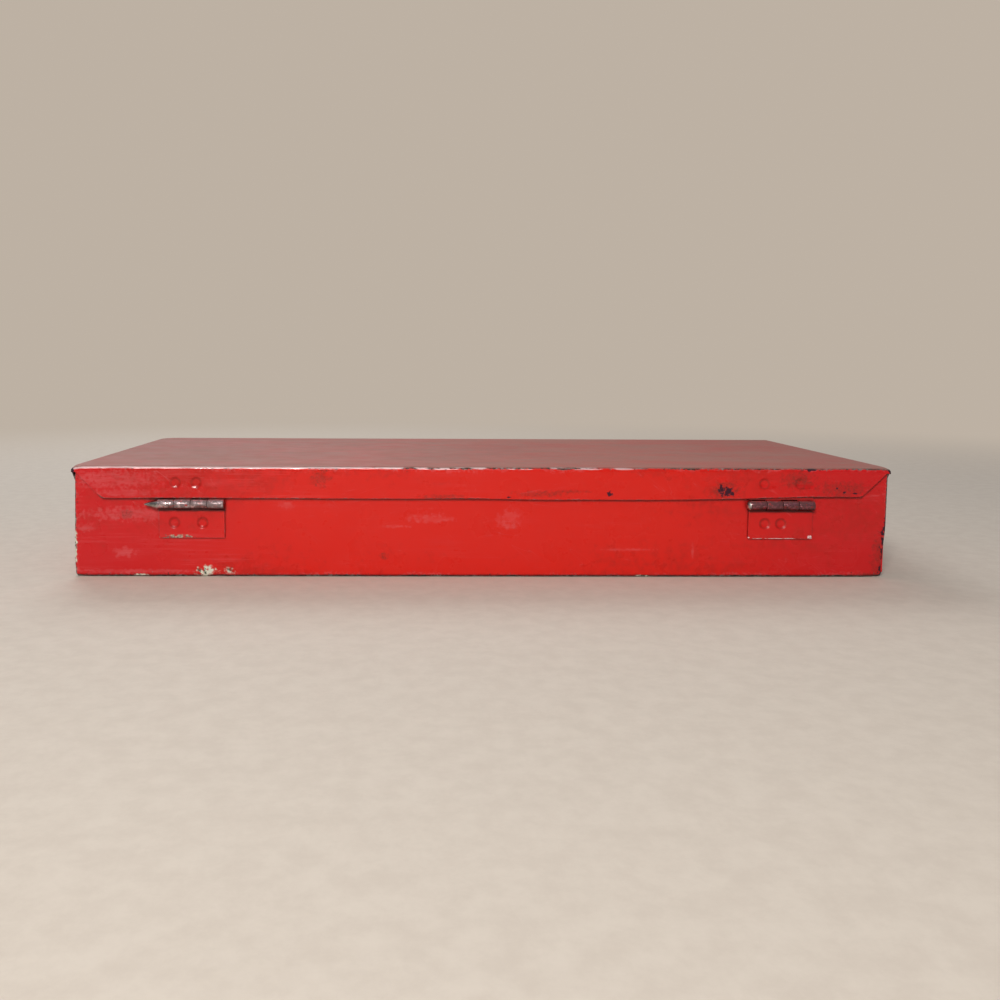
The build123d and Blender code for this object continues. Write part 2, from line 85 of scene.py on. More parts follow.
# %% Put an object in the scene
def into_scene(name, data):
    """An object that holds some data, put in the scene."""
    made = bpy.data.objects.new(name, data)
    bpy.context.scene.collection.objects.link(made)
    return made


# %% [markdown]
# ## The camera
# A camera is best settled first. The photographer stood behind the case and a little above its lid.
# The lid's four corners give the lens, about as wide as a phone's, the distance and the small tilts.
# A picture that was cropped off centre needs a lens shift, or its vertical lines would lean.

# %% Place the camera
CAMERA_PLACE = Vector((0.0388, lid_high.y + 0.5797, 0.1275))
LOOK_DOWN = math.radians(4.19)
LOOK_ASIDE = math.radians(1.17)
TILT = math.radians(0.31)
FOCAL_SHARE = 0.998
SHIFT = (0.0612, -0.0662)

look = Vector((-math.sin(LOOK_ASIDE), -math.cos(LOOK_ASIDE), -math.tan(LOOK_DOWN)))
camera_data = bpy.data.cameras.new("photo_camera")
camera_data.lens = FOCAL_SHARE * camera_data.sensor_width
camera_data.shift_x, camera_data.shift_y = SHIFT
camera = into_scene("photo_camera", camera_data)
camera.location = CAMERA_PLACE
camera.rotation_mode = "QUATERNION"
camera.rotation_quaternion = look.to_track_quat("-Z", "Y") @ Quaternion((0, 0, 1), TILT)
bpy.context.scene.camera = camera
bpy.context.scene.view_settings.view_transform = "Standard"
print("lens", round(camera_data.lens, 1), "mm at", [round(v, 3) for v in camera.location])

# %% [markdown]
# ## Helpers for shader nodes
# Every finish here is a small network of nodes. One function adds a node and fills or links its
# inputs, and a few short ones wrap the sums that come up most. That keeps each finish readable as a
# list of steps, in the order in which a painter or a scratch would make them.


# %% Add nodes and sums
def node(tree, kind, inputs=None, **settings):
    """Adds a node, sets its options, then fills each named input with a value or a link."""
    made = tree.nodes.new(kind)
    for name, value in settings.items():
        setattr(made, name, value)
    for name, value in (inputs or {}).items():
        if isinstance(value, bpy.types.NodeSocket):
            tree.links.new(value, made.inputs[name])
        else:
            made.inputs[name].default_value = value
    return made


def maths(tree, operation, first, second=0.0, clamp=False):
    """One sum on two numbers."""
    inputs = {0: first, 1: second}
    return node(tree, "ShaderNodeMath", inputs, operation=operation, use_clamp=clamp).outputs[0]


def times(tree, first, second, clamp=False):
    """Two numbers multiplied: a mask cut down by another."""
    return maths(tree, "MULTIPLY", first, second, clamp)


def plus(tree, first, second, clamp=False):
    """Two numbers added."""
    return maths(tree, "ADD", first, second, clamp)


def minus(tree, first, second, clamp=False):
    """The second number taken from the first."""
    return maths(tree, "SUBTRACT", first, second, clamp)


def most(tree, first, second):
    """The higher of two numbers: two masks laid together."""
    return maths(tree, "MAXIMUM", first, second)


print("sums: times, plus, minus and most")

# %% [markdown]
# ## Steps, mixes and clouds
# Nearly every mask is noise that has been pushed towards black and white. A soft step does the
# pushing: its two ends say which values count as off and as on. Stretching the space before the noise
# turns round clouds into streaks.


# %% Step, mix and cloud
def fade(tree, value, start, end, low=0.0, high=1.0):
    """A soft step: low at start and high at end."""
    inputs = {"Value": value, "From Min": start, "From Max": end, "To Min": low, "To Max": high}
    return node(tree, "ShaderNodeMapRange", inputs, interpolation_type="SMOOTHSTEP").outputs[0]


def blend(tree, share, first, second):
    """Two colours mixed by a share."""
    inputs = {0: share, 6: first, 7: second}
    return node(tree, "ShaderNodeMix", inputs, data_type="RGBA").outputs[2]


def vectors(tree, operation, first, second):
    """One sum on two vectors."""
    return node(tree, "ShaderNodeVectorMath", {0: first, 1: second}, operation=operation).outputs[0]


def length(tree, vector):
    """How long a vector is."""
    return node(tree, "ShaderNodeVectorMath", {0: vector}, operation="LENGTH").outputs["Value"]


def parts(tree, vector):
    """A vector's three parts."""
    return node(tree, "ShaderNodeSeparateXYZ", {0: vector}).outputs


def grow(tree, vector, scale):
    """A vector with each part multiplied by its own scale."""
    return vectors(tree, "MULTIPLY", vector, scale)


def cloud(tree, vector, scale, detail=3.0, roughness=0.55):
    """Soft noise from 0 to 1, about the middle."""
    inputs = {"Vector": vector, "Scale": scale, "Detail": detail, "Roughness": roughness}
    return node(tree, "ShaderNodeTexNoise", inputs).outputs["Fac"]


print("noise is stepped by fade and stretched by grow")

# %% [markdown]
# ## Effects as node groups
# An effect that several finishes share is made once as a node group, with named sockets. These two
# functions make an empty group and place a finished one in a material.

# %% Make and use an effect
NUMBER, VECTOR = "NodeSocketFloat", "NodeSocketVector"


def effect(name, inputs, outputs):
    """An empty node group with named sockets: its tree, its inputs and its output node's inputs."""
    tree = bpy.data.node_groups.new(name, "ShaderNodeTree")
    for socket, kind, value in inputs:
        made = tree.interface.new_socket(socket, in_out="INPUT", socket_type=kind)
        if kind != VECTOR:
            made.default_value = value
    for socket, kind in outputs:
        tree.interface.new_socket(socket, in_out="OUTPUT", socket_type=kind)
    return tree, tree.nodes.new("NodeGroupInput").outputs, tree.nodes.new("NodeGroupOutput").inputs


def use(tree, group, inputs):
    """One effect placed in a material, with its own values."""
    return node(tree, "ShaderNodeGroup", inputs, node_tree=group).outputs


print("an effect's sockets are", NUMBER, "or", VECTOR)

# %% [markdown]
# ## A material to start from
# Every material starts empty, with one node that gives the shaded point's place on its own object.
# Noise that follows this place stays on a piece when the piece moves.


# %% Start a material
def new_finish(name):
    """An empty material, its tree of nodes and the shaded point's place on its object."""
    material = bpy.data.materials.new(name)
    material.use_nodes = True
    tree = material.node_tree
    tree.nodes.clear()
    return material, tree, node(tree, "ShaderNodeTexCoord").outputs["Object"]


print("a finish follows its piece's own places")

# %% [markdown]
# ## The floor
# A pale, plain floor keeps the eye on the case. A floor that simply ends would draw a hard horizon
# behind the lid. So it fades far out into a glow of the same colour as the world behind it.

# %% Lay the floor
FLOOR_REACH = 12.0
FADE_START, FADE_END = 0.55, 1.5
FLOOR_COLOUR = (0.59, 0.51, 0.43, 1)
FLOOR_SPECKS = (0.64, 0.56, 0.475, 1)
BACKDROP_COLOUR = (0.51, 0.44, 0.368, 1)

floor_mesh = bpy.data.meshes.new("floor")
corners = [(x * FLOOR_REACH, y * FLOOR_REACH, 0) for x, y in ((-1, -1), (1, -1), (1, 1), (-1, 1))]
floor_mesh.from_pydata(corners, [], [(0, 1, 2, 3)])
floor = into_scene("floor", floor_mesh)

floor_finish, tree, place = new_finish("pale_floor")
specks = cloud(tree, place, 90.0, detail=6.0, roughness=0.7)
pale = blend(tree, fade(tree, specks, 0.3, 0.7), FLOOR_COLOUR, FLOOR_SPECKS)
matt = node(tree, "ShaderNodeBsdfPrincipled", {"Base Color": pale, "Roughness": 0.8})
glow = node(tree, "ShaderNodeEmission", {"Color": BACKDROP_COLOUR, "Strength": 1.0})
far = fade(tree, length(tree, place), FADE_START, FADE_END)
shown = node(tree, "ShaderNodeMixShader", {0: far, 1: matt.outputs[0], 2: glow.outputs[0]})
node(tree, "ShaderNodeOutputMaterial", {"Surface": shown.outputs[0]})
floor_mesh.materials.append(floor_finish)
print("floor fades from", FADE_START, "to", FADE_END, "m")

# %% [markdown]
# ## The sky
# In a room the light comes mostly from above, so the sky is dimmer towards the horizon. A bright
# horizon would fill in the welds and dents of the upright walls. The camera doesn't see this sky but
# the plain backdrop: a Light Path node tells the camera's own rays from all others.

# %% Set the sky
SKY_COLOUR = (0.94, 0.96, 1.0, 1)
SKY_LOW, SKY_HIGH = 0.09, 0.42

world = bpy.data.worlds.new("soft_sky")
bpy.context.scene.world = world
world.use_nodes = True
tree = world.node_tree
tree.nodes.clear()
direction = node(tree, "ShaderNodeTexCoord").outputs["Generated"]
strength = fade(tree, parts(tree, direction)[2], 0.0, 0.9, SKY_LOW, SKY_HIGH)
sky = node(tree, "ShaderNodeBackground", {"Color": SKY_COLOUR, "Strength": strength})
behind = node(tree, "ShaderNodeBackground", {"Color": BACKDROP_COLOUR, "Strength": 1.0})
straight = node(tree, "ShaderNodeLightPath").outputs["Is Camera Ray"]
seen = node(tree, "ShaderNodeMixShader", {0: straight, 1: sky.outputs[0], 2: behind.outputs[0]})
node(tree, "ShaderNodeOutputWorld", {"Surface": seen.outputs[0]})
print("sky strength from", SKY_LOW, "at the horizon to", SKY_HIGH, "overhead")

# %% [markdown]
# ## The lamps
# One lamp alone would leave the latch side black, and two equal ones would flatten the sheet. The key
# lamp on the hinge side is small and low: it draws the bright line along the lid's bend, and its
# slanting light models the welds. A weak wide lamp on the latch side only opens the shadows.


# %% Hang the lamps
def soft_lamp(name, place, size, watts, colour):
    """A wide lamp that points at the middle of the case's footprint."""
    lamp = bpy.data.lights.new(name, "AREA")
    lamp.shape = "RECTANGLE"
    lamp.size, lamp.size_y = size
    lamp.energy = watts
    lamp.color = colour
    held = into_scene(name, lamp)
    held.location = place
    held.rotation_mode = "QUATERNION"
    held.rotation_quaternion = (-Vector(place)).to_track_quat("-Z", "Y")


soft_lamp("key", (0.33, 1.35, 0.80), (0.36, 0.32), 16, (1.0, 0.98, 0.95))
soft_lamp("opposite", (0.6, -1.4, 1.3), (1.2, 0.8), 15, (0.96, 0.98, 1.0))
print("lamps:", ", ".join(lamp.name for lamp in bpy.data.lights))

# %% [markdown]
# ## Folding a pan from sheet
# A pan is a flat plate with walls bent up on its four sides. The easiest way to model it well is the
# way it is made: lay out one flat grid, with its plate in the middle and its walls beyond, and bend
# the grid at the plate's edges. Each wall is a list of rows, from the bend to the sheet's cut edge.
# A row says how far in from the outside it lies, how far from the plate, and where its ends stop, so
# the same few lines fold a mitred lid flange or a wall whose rim is hemmed inwards. It also carries
# its gap to the nearest bend and to the cut edge; a hem's rows lie on a bend, so theirs is negative.
# Only the outer skin is folded. The Solidify modifier gives it the sheet's thickness afterwards.

# %% A pan's rows and places
BEND_STEPS = 6
Row = namedtuple("Row", "inset height end fold_gap cut_gap")


def places_along(half, bend, step, fine_places=(), fine_reach=4.0 * MM, fine_step=0.5 * MM):
    """Places across a plate, closer together round the fine ones."""
    inner = half - CLOSED_CORNER
    coarse = np.linspace(-inner, inner, round(2 * inner / step) + 1)
    kept = [p for p in coarse[1:-1] if all(abs(p - f) > fine_reach + fine_step for f in fine_places)]
    steps = round(fine_reach / fine_step)
    close = [f + k * fine_step for f in fine_places for k in range(-steps, steps + 1)]
    ends = [-half + bend, -inner, inner, half - bend]
    return sorted({round(p, 7) for p in [*kept, *close, *ends]})


def unfolded(places, rows):
    """One way across the flat sheet: wall, bend, plate, bend, wall."""
    bends = [("bend", math.pi / 2 * step / BEND_STEPS) for step in range(1, BEND_STEPS + 1)]
    outward = bends + [("wall", row) for row in rows]
    low = [(kind, value, -1) for kind, value in reversed(outward)]
    high = [(kind, value, 1) for kind, value in outward]
    return low + [("plate", place, 0) for place in places] + high


print("a bend has", BEND_STEPS, "steps")

# %% [markdown]
# ## Where a point lies once the sheet is folded
# A point of the flat grid has a place along each of its two ways. On the plate both are plain
# lengths. In a bend one is an angle, and where two bends meet the corner is a part of a ball, as in a
# pressed tray. On a wall the row gives height and inset. Points that no sheet covers, beyond a mitre
# or at a corner that is cut out, come back as None and leave a hole.


# %% Fold one point
def along_wall(place, half, row):
    """A place along a wall, drawn in where the row is shorter than the plate, or None beyond it."""
    reach = half - CLOSED_CORNER
    if row.end is None or abs(place) < reach / 2:
        return place
    if abs(place) > reach + 1e-7:
        return None
    share = (abs(place) - reach / 2) / (reach / 2)
    drawn = reach / 2 + share * (half - row.end - reach / 2)
    return math.copysign(drawn, place)


def wall_point(wall, other, half_wall, half_other, bend):
    """A point on a wall: its places outward and along, its height, its outward parts and its gaps."""
    row, side = wall[1], wall[2]
    kind, value, other_side = other
    if kind == "wall" or (kind == "bend" and row.end is not None):
        return None
    if kind == "bend":
        turn = math.atan2(math.sin(value), 1)
        out, along = math.cos(turn), math.sin(turn)
        place = other_side * (half_other - bend + bend * along)
        reach = half_wall - bend + bend * out
        return side * reach, place, row.height, side * out, other_side * along, 0.0, row.cut_gap
    place = along_wall(value, half_other, row)
    if place is None:
        return None
    corner_gap = half_other - abs(place) - bend if row.end is None else 1.0
    end_gap = half_other - row.end - abs(place) if row.end is not None else 1.0
    fold_gap = min(row.fold_gap, corner_gap)
    cut_gap = max(0.0, min(row.cut_gap, end_gap))
    return side * (half_wall - row.inset), place, row.height, side, 0.0, fold_gap, cut_gap


def sheet_point(across, along, half, bend):
    """Place, outward direction, gap to the nearest fold and gap to the nearest cut, or None."""
    if across[0] == "wall" or along[0] == "wall":
        swapped = along[0] == "wall"
        wall, other = (along, across) if swapped else (across, along)
        halves = (half[1], half[0]) if swapped else half
        found = wall_point(wall, other, halves[0], halves[1], bend)
        if found is None:
            return None
        first, second, height, out_first, out_second, fold_gap, cut_gap = found
        if swapped:
            first, second, out_first, out_second = second, first, out_second, out_first
        return (first, second, height), (out_first, out_second, 0.0), fold_gap, cut_gap
    sine = [math.sin(e[1]) if e[0] == "bend" else 0.0 for e in (across, along)]
    cosine = [math.cos(e[1]) if e[0] == "bend" else 1.0 for e in (across, along)]
    out = Vector((sine[0], sine[1], cosine[0] * cosine[1])).normalized()
    flat = [
        e[2] * (h - bend + bend * out[i]) if e[0] == "bend" else e[1]
        for i, (e, h) in enumerate(zip((across, along), half))
    ]
    signs = [e[2] if e[0] == "bend" else 1 for e in (across, along)]
    plate_gap = min(h - bend - abs(p) for h, p in zip(half, flat))
    outward = (out.x * signs[0], out.y * signs[1], -out.z)
    return (flat[0], flat[1], bend - bend * out.z), outward, max(0.0, plate_gap), 1.0


print("points fold onto plate, bends, corners and walls")

# %% [markdown]
# ## Giving the sheet its life
# Thin sheet between stiff folds swells and sags a little. Smooth noise moves each point along its
# outward direction, more the further it lies from a fold, and not at all where a fitting is welded or
# riveted on. A dent is a smooth dimple at one named place. A bump map could fake all this, but with
# the moves in the mesh the outline and every reflection bend too.

# %% Ripples, dents and weld marks
RIPPLE_SIZE = 95 * MM
RIPPLE_SLOPE = 0.016
RIPPLE_REACH = 38 * MM
CALM_NEAR, CALM_FAR = 3 * MM, 26 * MM
WELD_RADIUS = 3.8 * MM
WELD_DEPTH = 0.8 * MM
Dent = namedtuple("Dent", "place reach push")


def soft_step(value, start, end):
    """From 0 at start to 1 at end, with soft ends."""
    share = min(1.0, max(0.0, (value - start) / (end - start)))
    return share * share * (3 - 2 * share)


def gap_to_box(point, box):
    """How far a point is from a box."""
    low, high = box
    return Vector([max(low[i] - point[i], 0.0, point[i] - high[i]) for i in range(3)]).length


def calm(point, fittings):
    """0 at a fitting and 1 well away from it."""
    gaps = [gap_to_box(point, fitting) for fitting in fittings]
    return soft_step(min(gaps, default=CALM_FAR), CALM_NEAR, CALM_FAR)


def ripple(point, outward, fold_gap, seed):
    """How far the sheet swells at a point: never below the underside."""
    swell = noise.noise(point / RIPPLE_SIZE + Vector((seed, seed, seed)))
    swell += 0.35 * noise.noise(point / RIPPLE_SIZE * 2.7 + Vector((0, seed, 0)))
    amount = RIPPLE_SLOPE * min(max(fold_gap, 0.0), RIPPLE_REACH) * swell
    return -abs(amount) if outward.z < -0.5 and point.z < BASE_BEND else amount


def dented(point, dents):
    """The push of every dent near a point."""
    push = Vector()
    for dent in dents:
        gap = (point - dent.place).length / dent.reach
        if gap < 2.5:
            push += dent.push * math.exp(-gap * gap)
    return push


def weld_mark(point, outward, welds):
    """A round dimple with a flat floor under each weld."""
    depth = 0.0
    for weld in welds:
        gap = (point - weld).length
        if gap < WELD_RADIUS * 1.2:
            depth = max(depth, WELD_DEPTH * (1 - soft_step(gap, 0.45 * WELD_RADIUS, WELD_RADIUS)))
    return -depth * outward


print("ripples of", RIPPLE_SIZE / MM, "mm, up to", round(RIPPLE_SLOPE * RIPPLE_REACH / MM, 2), "mm")

# %% [markdown]
# ## From the flat grid to a piece
# The grid's points are worked out one by one and its cells become faces. Two values go with each
# point: its gap to the crown of the nearest fold and to the nearest cut edge. Paint wears off first
# along both, so the enamel reads the two as attributes later. Solidify and a small Bevel finish the
# sheet, and Solidify gives the inside a second material slot, because the inside has worn differently.


# %% Fold a whole pan
def crown_gap(outward, bend, fold_gap):
    """How far a point lies from the crown of the nearest fold, along the sheet."""
    first, second, _ = sorted((abs(part) for part in outward), reverse=True)
    return max(0.0, bend * math.asin(min(1.0, (first - second) / math.sqrt(2))) + fold_gap)


def folded_pan(name, half, bend, rows, places, to_frame, shape):
    """Builds one pan; to_frame turns a folded point or direction, and shape moves the final point."""
    across, along = unfolded(places[0], rows), unfolded(places[1], rows)
    points, fold_gaps, crown_gaps, cut_gaps, index, cells = [], [], [], [], {}, {}
    for i, first in enumerate(across):
        for j, second in enumerate(along):
            found = sheet_point(first, second, half, bend)
            if found is None:
                continue
            key = tuple(round(v, 7) for v in found[0])
            if key not in index:
                index[key] = len(points)
                place, outward = to_frame(Vector(found[0]), False), to_frame(Vector(found[1]), True)
                points.append((place, outward.normalized()))
                fold_gaps.append(found[2])
                crown_gaps.append(crown_gap(found[1], bend, found[2]))
                cut_gaps.append(found[3])
            cells[i, j] = index[key]
    faces = []
    for (i, j), corner in cells.items():
        ring = [corner, cells.get((i + 1, j)), cells.get((i + 1, j + 1)), cells.get((i, j + 1))]
        if None in ring or len(set(ring)) < 3:
            continue
        ring = list(dict.fromkeys(ring))
        a, b, c = (points[v][0] for v in ring[:3])
        outward = sum((points[v][1] for v in ring), Vector())
        faces.append(ring if (b - a).cross(c - b).dot(outward) > 0 else ring[::-1])
    moved = [shape(p, n, f, c) for (p, n), f, c in zip(points, fold_gaps, cut_gaps)]
    mesh = bpy.data.meshes.new(name)
    mesh.from_pydata(moved, [], faces)
    for label, values in (("crown_gap", crown_gaps), ("cut_gap", cut_gaps)):
        mesh.attributes.new(label, "FLOAT", "POINT").data.foreach_set("value", values)
    mesh.polygons.foreach_set("use_smooth", [True] * len(mesh.polygons))
    return into_scene(name, mesh)


def break_edges(piece, label, width, degrees, harden=True):
    """Rounds the edges of a piece that are sharper than an angle, in two steps."""
    edge = piece.modifiers.new(label, "BEVEL")
    edge.width = width
    edge.segments = 2
    edge.limit_method = "ANGLE"
    edge.angle_limit = math.radians(degrees)
    edge.harden_normals = harden


def thicken(piece, bevel_width):
    """Gives a folded skin its thickness and breaks its cut edges."""
    solid = piece.modifiers.new("thickness", "SOLIDIFY")
    solid.thickness = SHEET
    solid.offset = -1
    solid.use_even_offset = True
    solid.material_offset = 1
    break_edges(piece, "broken_edge", bevel_width, 50)


print("a cut edge is broken by the Bevel modifier")

# %% [markdown]
# ## The lid
# The lid is a pan turned upside down. Its flanges are mitred at the corners: each end runs from a
# short closed corner to a cut that slants inwards, which leaves the open triangle that shows at both
# ends of the back. The flange's lower edge wanders by half a millimetre. At the back it sags a little
# past the middle and rises at the left end, as it does on the real case.

# %% The lid's rows
PLATE_STEP = 5 * MM
FLANGE_STEP = 0.55 * MM

flange_height = lid_high.z - lid_low.z
lid_half = (lid_high.x, lid_high.y)
flange_rows = [Row(0, CLOSED_CORNER, None, CLOSED_CORNER - LID_BEND, flange_height - CLOSED_CORNER)]
mitre_fall = flange_height - CLOSED_CORNER
row_count = round(mitre_fall / FLANGE_STEP)
for step in range(1, row_count + 1):
    fall = mitre_fall * step / row_count
    end = CLOSED_CORNER + (MITRE_RUN - CLOSED_CORNER) * fall / mitre_fall
    height = CLOSED_CORNER + fall
    flange_rows.append(Row(0, height, end, height - LID_BEND, mitre_fall - fall))
print("lid flange:", len(flange_rows), "rows over", round(flange_height / MM, 1), "mm")

# %% [markdown]
# ## The lid's welds, dents and wandering edge
# The upper hinge leaves are welded on from inside, and each weld shows outside as a round dimple. The
# dents are where such a lid gets them: in the middle of the plate, where things are put down on it,
# and at the corners, where it is knocked. Every one has its own place, so none looks repeated.

# %% The lid's welds, dents and shape
UPPER_WELD_RISE = 12.7 * MM
UPPER_WELDS = {"right": (9.2 * MM, -2.8 * MM), "left": (10.4 * MM, -11.0 * MM)}
EDGE_WANDER, WANDER_SIZE, WANDER_REACH = 0.4 * MM, 45 * MM, 6 * MM
SAG_PLACE, SAG_REACH, SAG_DEPTH = -70 * MM, 60 * MM, 0.7 * MM
RISE_START, RISE_END, RISE = -120 * MM, -215 * MM, 1.7 * MM

lid_welds = [
    Vector((hinge_middle[side].x + offset, lid_high.y, hinge_axis[2] + UPPER_WELD_RISE))
    for side in SIDES
    for offset in UPPER_WELDS[side]
]
lid_fittings = [
    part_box(f"{side}_{piece}") for side in SIDES for piece in ("hinge_upper_leaf", "latch_keeper")
]
lid_dents = [
    Dent(Vector((0.108, 0.022, lid_high.z)), 24 * MM, Vector((0, 0, -0.7 * MM))),
    Dent(Vector((-0.131, -0.041, lid_high.z)), 31 * MM, Vector((0, 0, -0.8 * MM))),
    Dent(Vector((-0.012, 0.061, lid_high.z)), 14 * MM, Vector((0, 0, -0.45 * MM))),
    Dent(Vector((0.241, 0.107, lid_high.z)), 5 * MM, Vector((-0.3, -0.3, -0.9)) * MM),
    Dent(Vector((-0.241, 0.107, lid_high.z)), 6 * MM, Vector((0.5, -0.3, -0.6)) * MM),
    Dent(Vector((0.241, -0.107, lid_high.z)), 6 * MM, Vector((-0.7, 0.5, -0.4)) * MM),
    Dent(Vector((-0.197, 0.107, lid_high.z)), 3 * MM, Vector((0, -0.25, -0.3)) * MM),
    Dent(Vector((0.026, 0.107, lid_high.z)), 5 * MM, Vector((0, -0.2, -0.35)) * MM),
]


def lid_to_frame(value, is_direction):
    """A pan's plate lies on zero and its walls rise, and the lid is that turned over."""
    return Vector((value.x, value.y, -value.z if is_direction else lid_high.z - value.z))


def lid_shape(point, outward, fold_gap, cut_gap):
    """The lid's ripples, dents, weld marks and wandering lower edge."""
    still = calm(point, lid_fittings)
    moved = point + outward * ripple(point, outward, fold_gap, 3.1) * still
    moved += weld_mark(point, outward, lid_welds) + dented(point, lid_dents)
    if cut_gap < WANDER_REACH:
        share = (1 - soft_step(cut_gap, 0, WANDER_REACH)) * still
        moved.z += EDGE_WANDER * noise.noise(point / WANDER_SIZE) * share
    if outward.y > 0.5:
        share = 1 - (point.z - lid_low.z) / flange_height
        moved.z -= SAG_DEPTH * math.exp(-(((point.x - SAG_PLACE) / SAG_REACH) ** 2)) * share
        moved.z += RISE * soft_step(-point.x, -RISE_START, -RISE_END) * share
    return moved


print("lid:", len(lid_welds), "weld marks and", len(lid_dents), "dents")

# %% [markdown]
# ## The folded lid
# The grid is finer along the columns that hold a weld, so that a dimple of under eight millimetres
# comes out round. The new shell rides the lid's body, so it opens with the hinge, and it stands in
# for the frame's plain lid.

# %% Fold the lid
lid_places = (
    places_along(lid_half[0], LID_BEND, PLATE_STEP, [weld.x for weld in lid_welds]),
    places_along(lid_half[1], LID_BEND, PLATE_STEP),
)
lid_shell = folded_pan("lid_shell", lid_half, LID_BEND, flange_rows, lid_places, lid_to_frame, lid_shape)
thicken(lid_shell, 0.16 * MM)
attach(lid_shell, "lid")
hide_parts("lid_pan")
print("lid skin:", len(lid_shell.data.vertices), "points")

# %% [markdown]
# ## The base
# The base is the same kind of pan, the right way up. Its walls are closed at the corners all the way
# to the rim, and the rim is hemmed: folded inwards and flat against the wall, so that nobody is cut by
# it. The hem's ends are cut back at the corners. One bottom corner at the back has been dropped on,
# which the real case shows as a crushed, bare spot.

# %% The base's rows
WALL_STEP = 4 * MM
HEM_RADIUS = 1.15 * MM
HEM_STEPS = 5
HEM_END_SLOPE = 0.5
CORNER_WELD_INSET = 9.0 * MM

base_half = (base_high.x, base_high.y)
rim = base_high.z
weld_low = BASE_BEND + CORNER_WELD_INSET
weld_high = rim - HEM_HEIGHT - CORNER_WELD_INSET
weld_heights = [weld_low + (weld_high - weld_low) * k / 2 for k in range(3)]
weld_y = base_half[1] - SHEET - CORNER_WELD_INSET
base_welds = [
    Vector((x * base_half[0], y * weld_y, z)) for x in (-1, 1) for y in (-1, 1) for z in weld_heights
]
fold_start = rim - HEM_RADIUS
wall_heights = [h for h in np.arange(BASE_BEND + WALL_STEP, fold_start - MM, WALL_STEP)]
wall_heights = [h for h in wall_heights if all(abs(h - w) > 4 * MM for w in weld_heights)]
wall_heights += [w + k * 0.5 * MM for w in weld_heights for k in range(-7, 8)]
wall_rows = [
    Row(0, height, None, min(height - BASE_BEND, fold_start - height), 1.0)
    for height in sorted(wall_heights)
]
wall_rows.append(Row(0, fold_start, None, 0.0, 1.0))
for step in range(1, HEM_STEPS + 1):
    turn = math.pi * step / HEM_STEPS
    inset = HEM_RADIUS * (1 - math.cos(turn))
    end = CLOSED_CORNER + inset / 4
    rim_gap = HEM_RADIUS * abs(turn - math.pi / 2) - BASE_BEND * math.pi / 4
    wall_rows.append(Row(inset, fold_start + HEM_RADIUS * math.sin(turn), end, rim_gap, HEM_HEIGHT))
for step in range(1, HEM_STEPS + 1):
    fall = (HEM_HEIGHT - HEM_RADIUS) * step / HEM_STEPS
    end = CLOSED_CORNER + HEM_RADIUS / 2 + fall * HEM_END_SLOPE
    cut_gap = HEM_HEIGHT - HEM_RADIUS - fall
    wall_rows.append(Row(2 * HEM_RADIUS, fold_start - fall, end, fall, cut_gap))
print("base wall:", len(wall_rows), "rows, with the hem's", 2 * HEM_STEPS)

# %% [markdown]
# ## The base's dents and lean
# The floor is stiff, but the walls of an open tray give. The end walls lean a little, by a millimetre
# or so, which the photograph shows at both ends of the back. The lean moves the hem and the corner
# tabs with the wall. The hem is doubled sheet and much stiffer than the rest, so it has no dents.

# %% The base's dents and shape
SPLAY = {"right": (1.5 * MM, 0.2 * MM), "left": (0.4 * MM, 0.9 * MM)}
SPLAY_REACH = 30 * MM

base_fittings = [
    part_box(f"{side}_{piece}")
    for side in SIDES
    for piece in ("hinge_lower_leaf", "latch_plate", "handle_saddle")
]
base_dents = [
    Dent(Vector((-base_half[0], base_half[1], 4 * MM)), 9 * MM, Vector((1.0, -1.1, 0.7)) * MM),
    Dent(Vector((-base_half[0], base_half[1], 19 * MM)), 7 * MM, Vector((0.5, -0.5, 0)) * MM),
    Dent(Vector((base_half[0], base_half[1], 2 * MM)), 5 * MM, Vector((-0.5, -0.5, 0.4)) * MM),
    Dent(Vector((-0.012, base_half[1], 24 * MM)), 17 * MM, Vector((0, -0.55, 0)) * MM),
    Dent(Vector((0.085, base_half[1], 13 * MM)), 9 * MM, Vector((0, -0.35, 0)) * MM),
    Dent(Vector((0.06, -base_half[1], 16 * MM)), 15 * MM, Vector((0, 0.5, 0)) * MM),
    Dent(Vector((base_half[0], 0.02, 30 * MM)), 22 * MM, Vector((-0.8, 0, 0)) * MM),
    Dent(Vector((0.157, base_half[1], 1 * MM)), 4 * MM, Vector((0, -0.3, 0.2)) * MM),
]


def base_to_frame(value, is_direction):
    """The base already stands as a pan is folded."""
    return value


def splayed(point):
    """The end walls aren't quite upright: the right one stands out at its foot, the left at its rim."""
    at_foot, at_rim = SPLAY["right" if point.x > 0 else "left"]
    share = soft_step(abs(point.x), base_half[0] - SPLAY_REACH, base_half[0])
    lean = at_foot + (at_rim - at_foot) * point.z / rim
    return point + Vector((math.copysign(lean * share, point.x), 0, 0))


def base_shape(point, outward, fold_gap, cut_gap):
    """The base's ripples, dents and weld marks; the hem only leans with its wall."""
    moved = point.copy()
    if cut_gap >= HEM_HEIGHT:
        moved += outward * ripple(point, outward, fold_gap, 7.7) * calm(point, base_fittings)
        moved += weld_mark(point, outward, base_welds) + dented(point, base_dents)
    return splayed(moved)


print("base:", len(base_welds), "weld marks and", len(base_dents), "dents")

# %% [markdown]
# ## The folded base
# Folded like the lid, and a new shell again in place of the frame's plain one. Its rows close up at
# the corner welds and at the hem, and stay wide apart where the wall is plain.

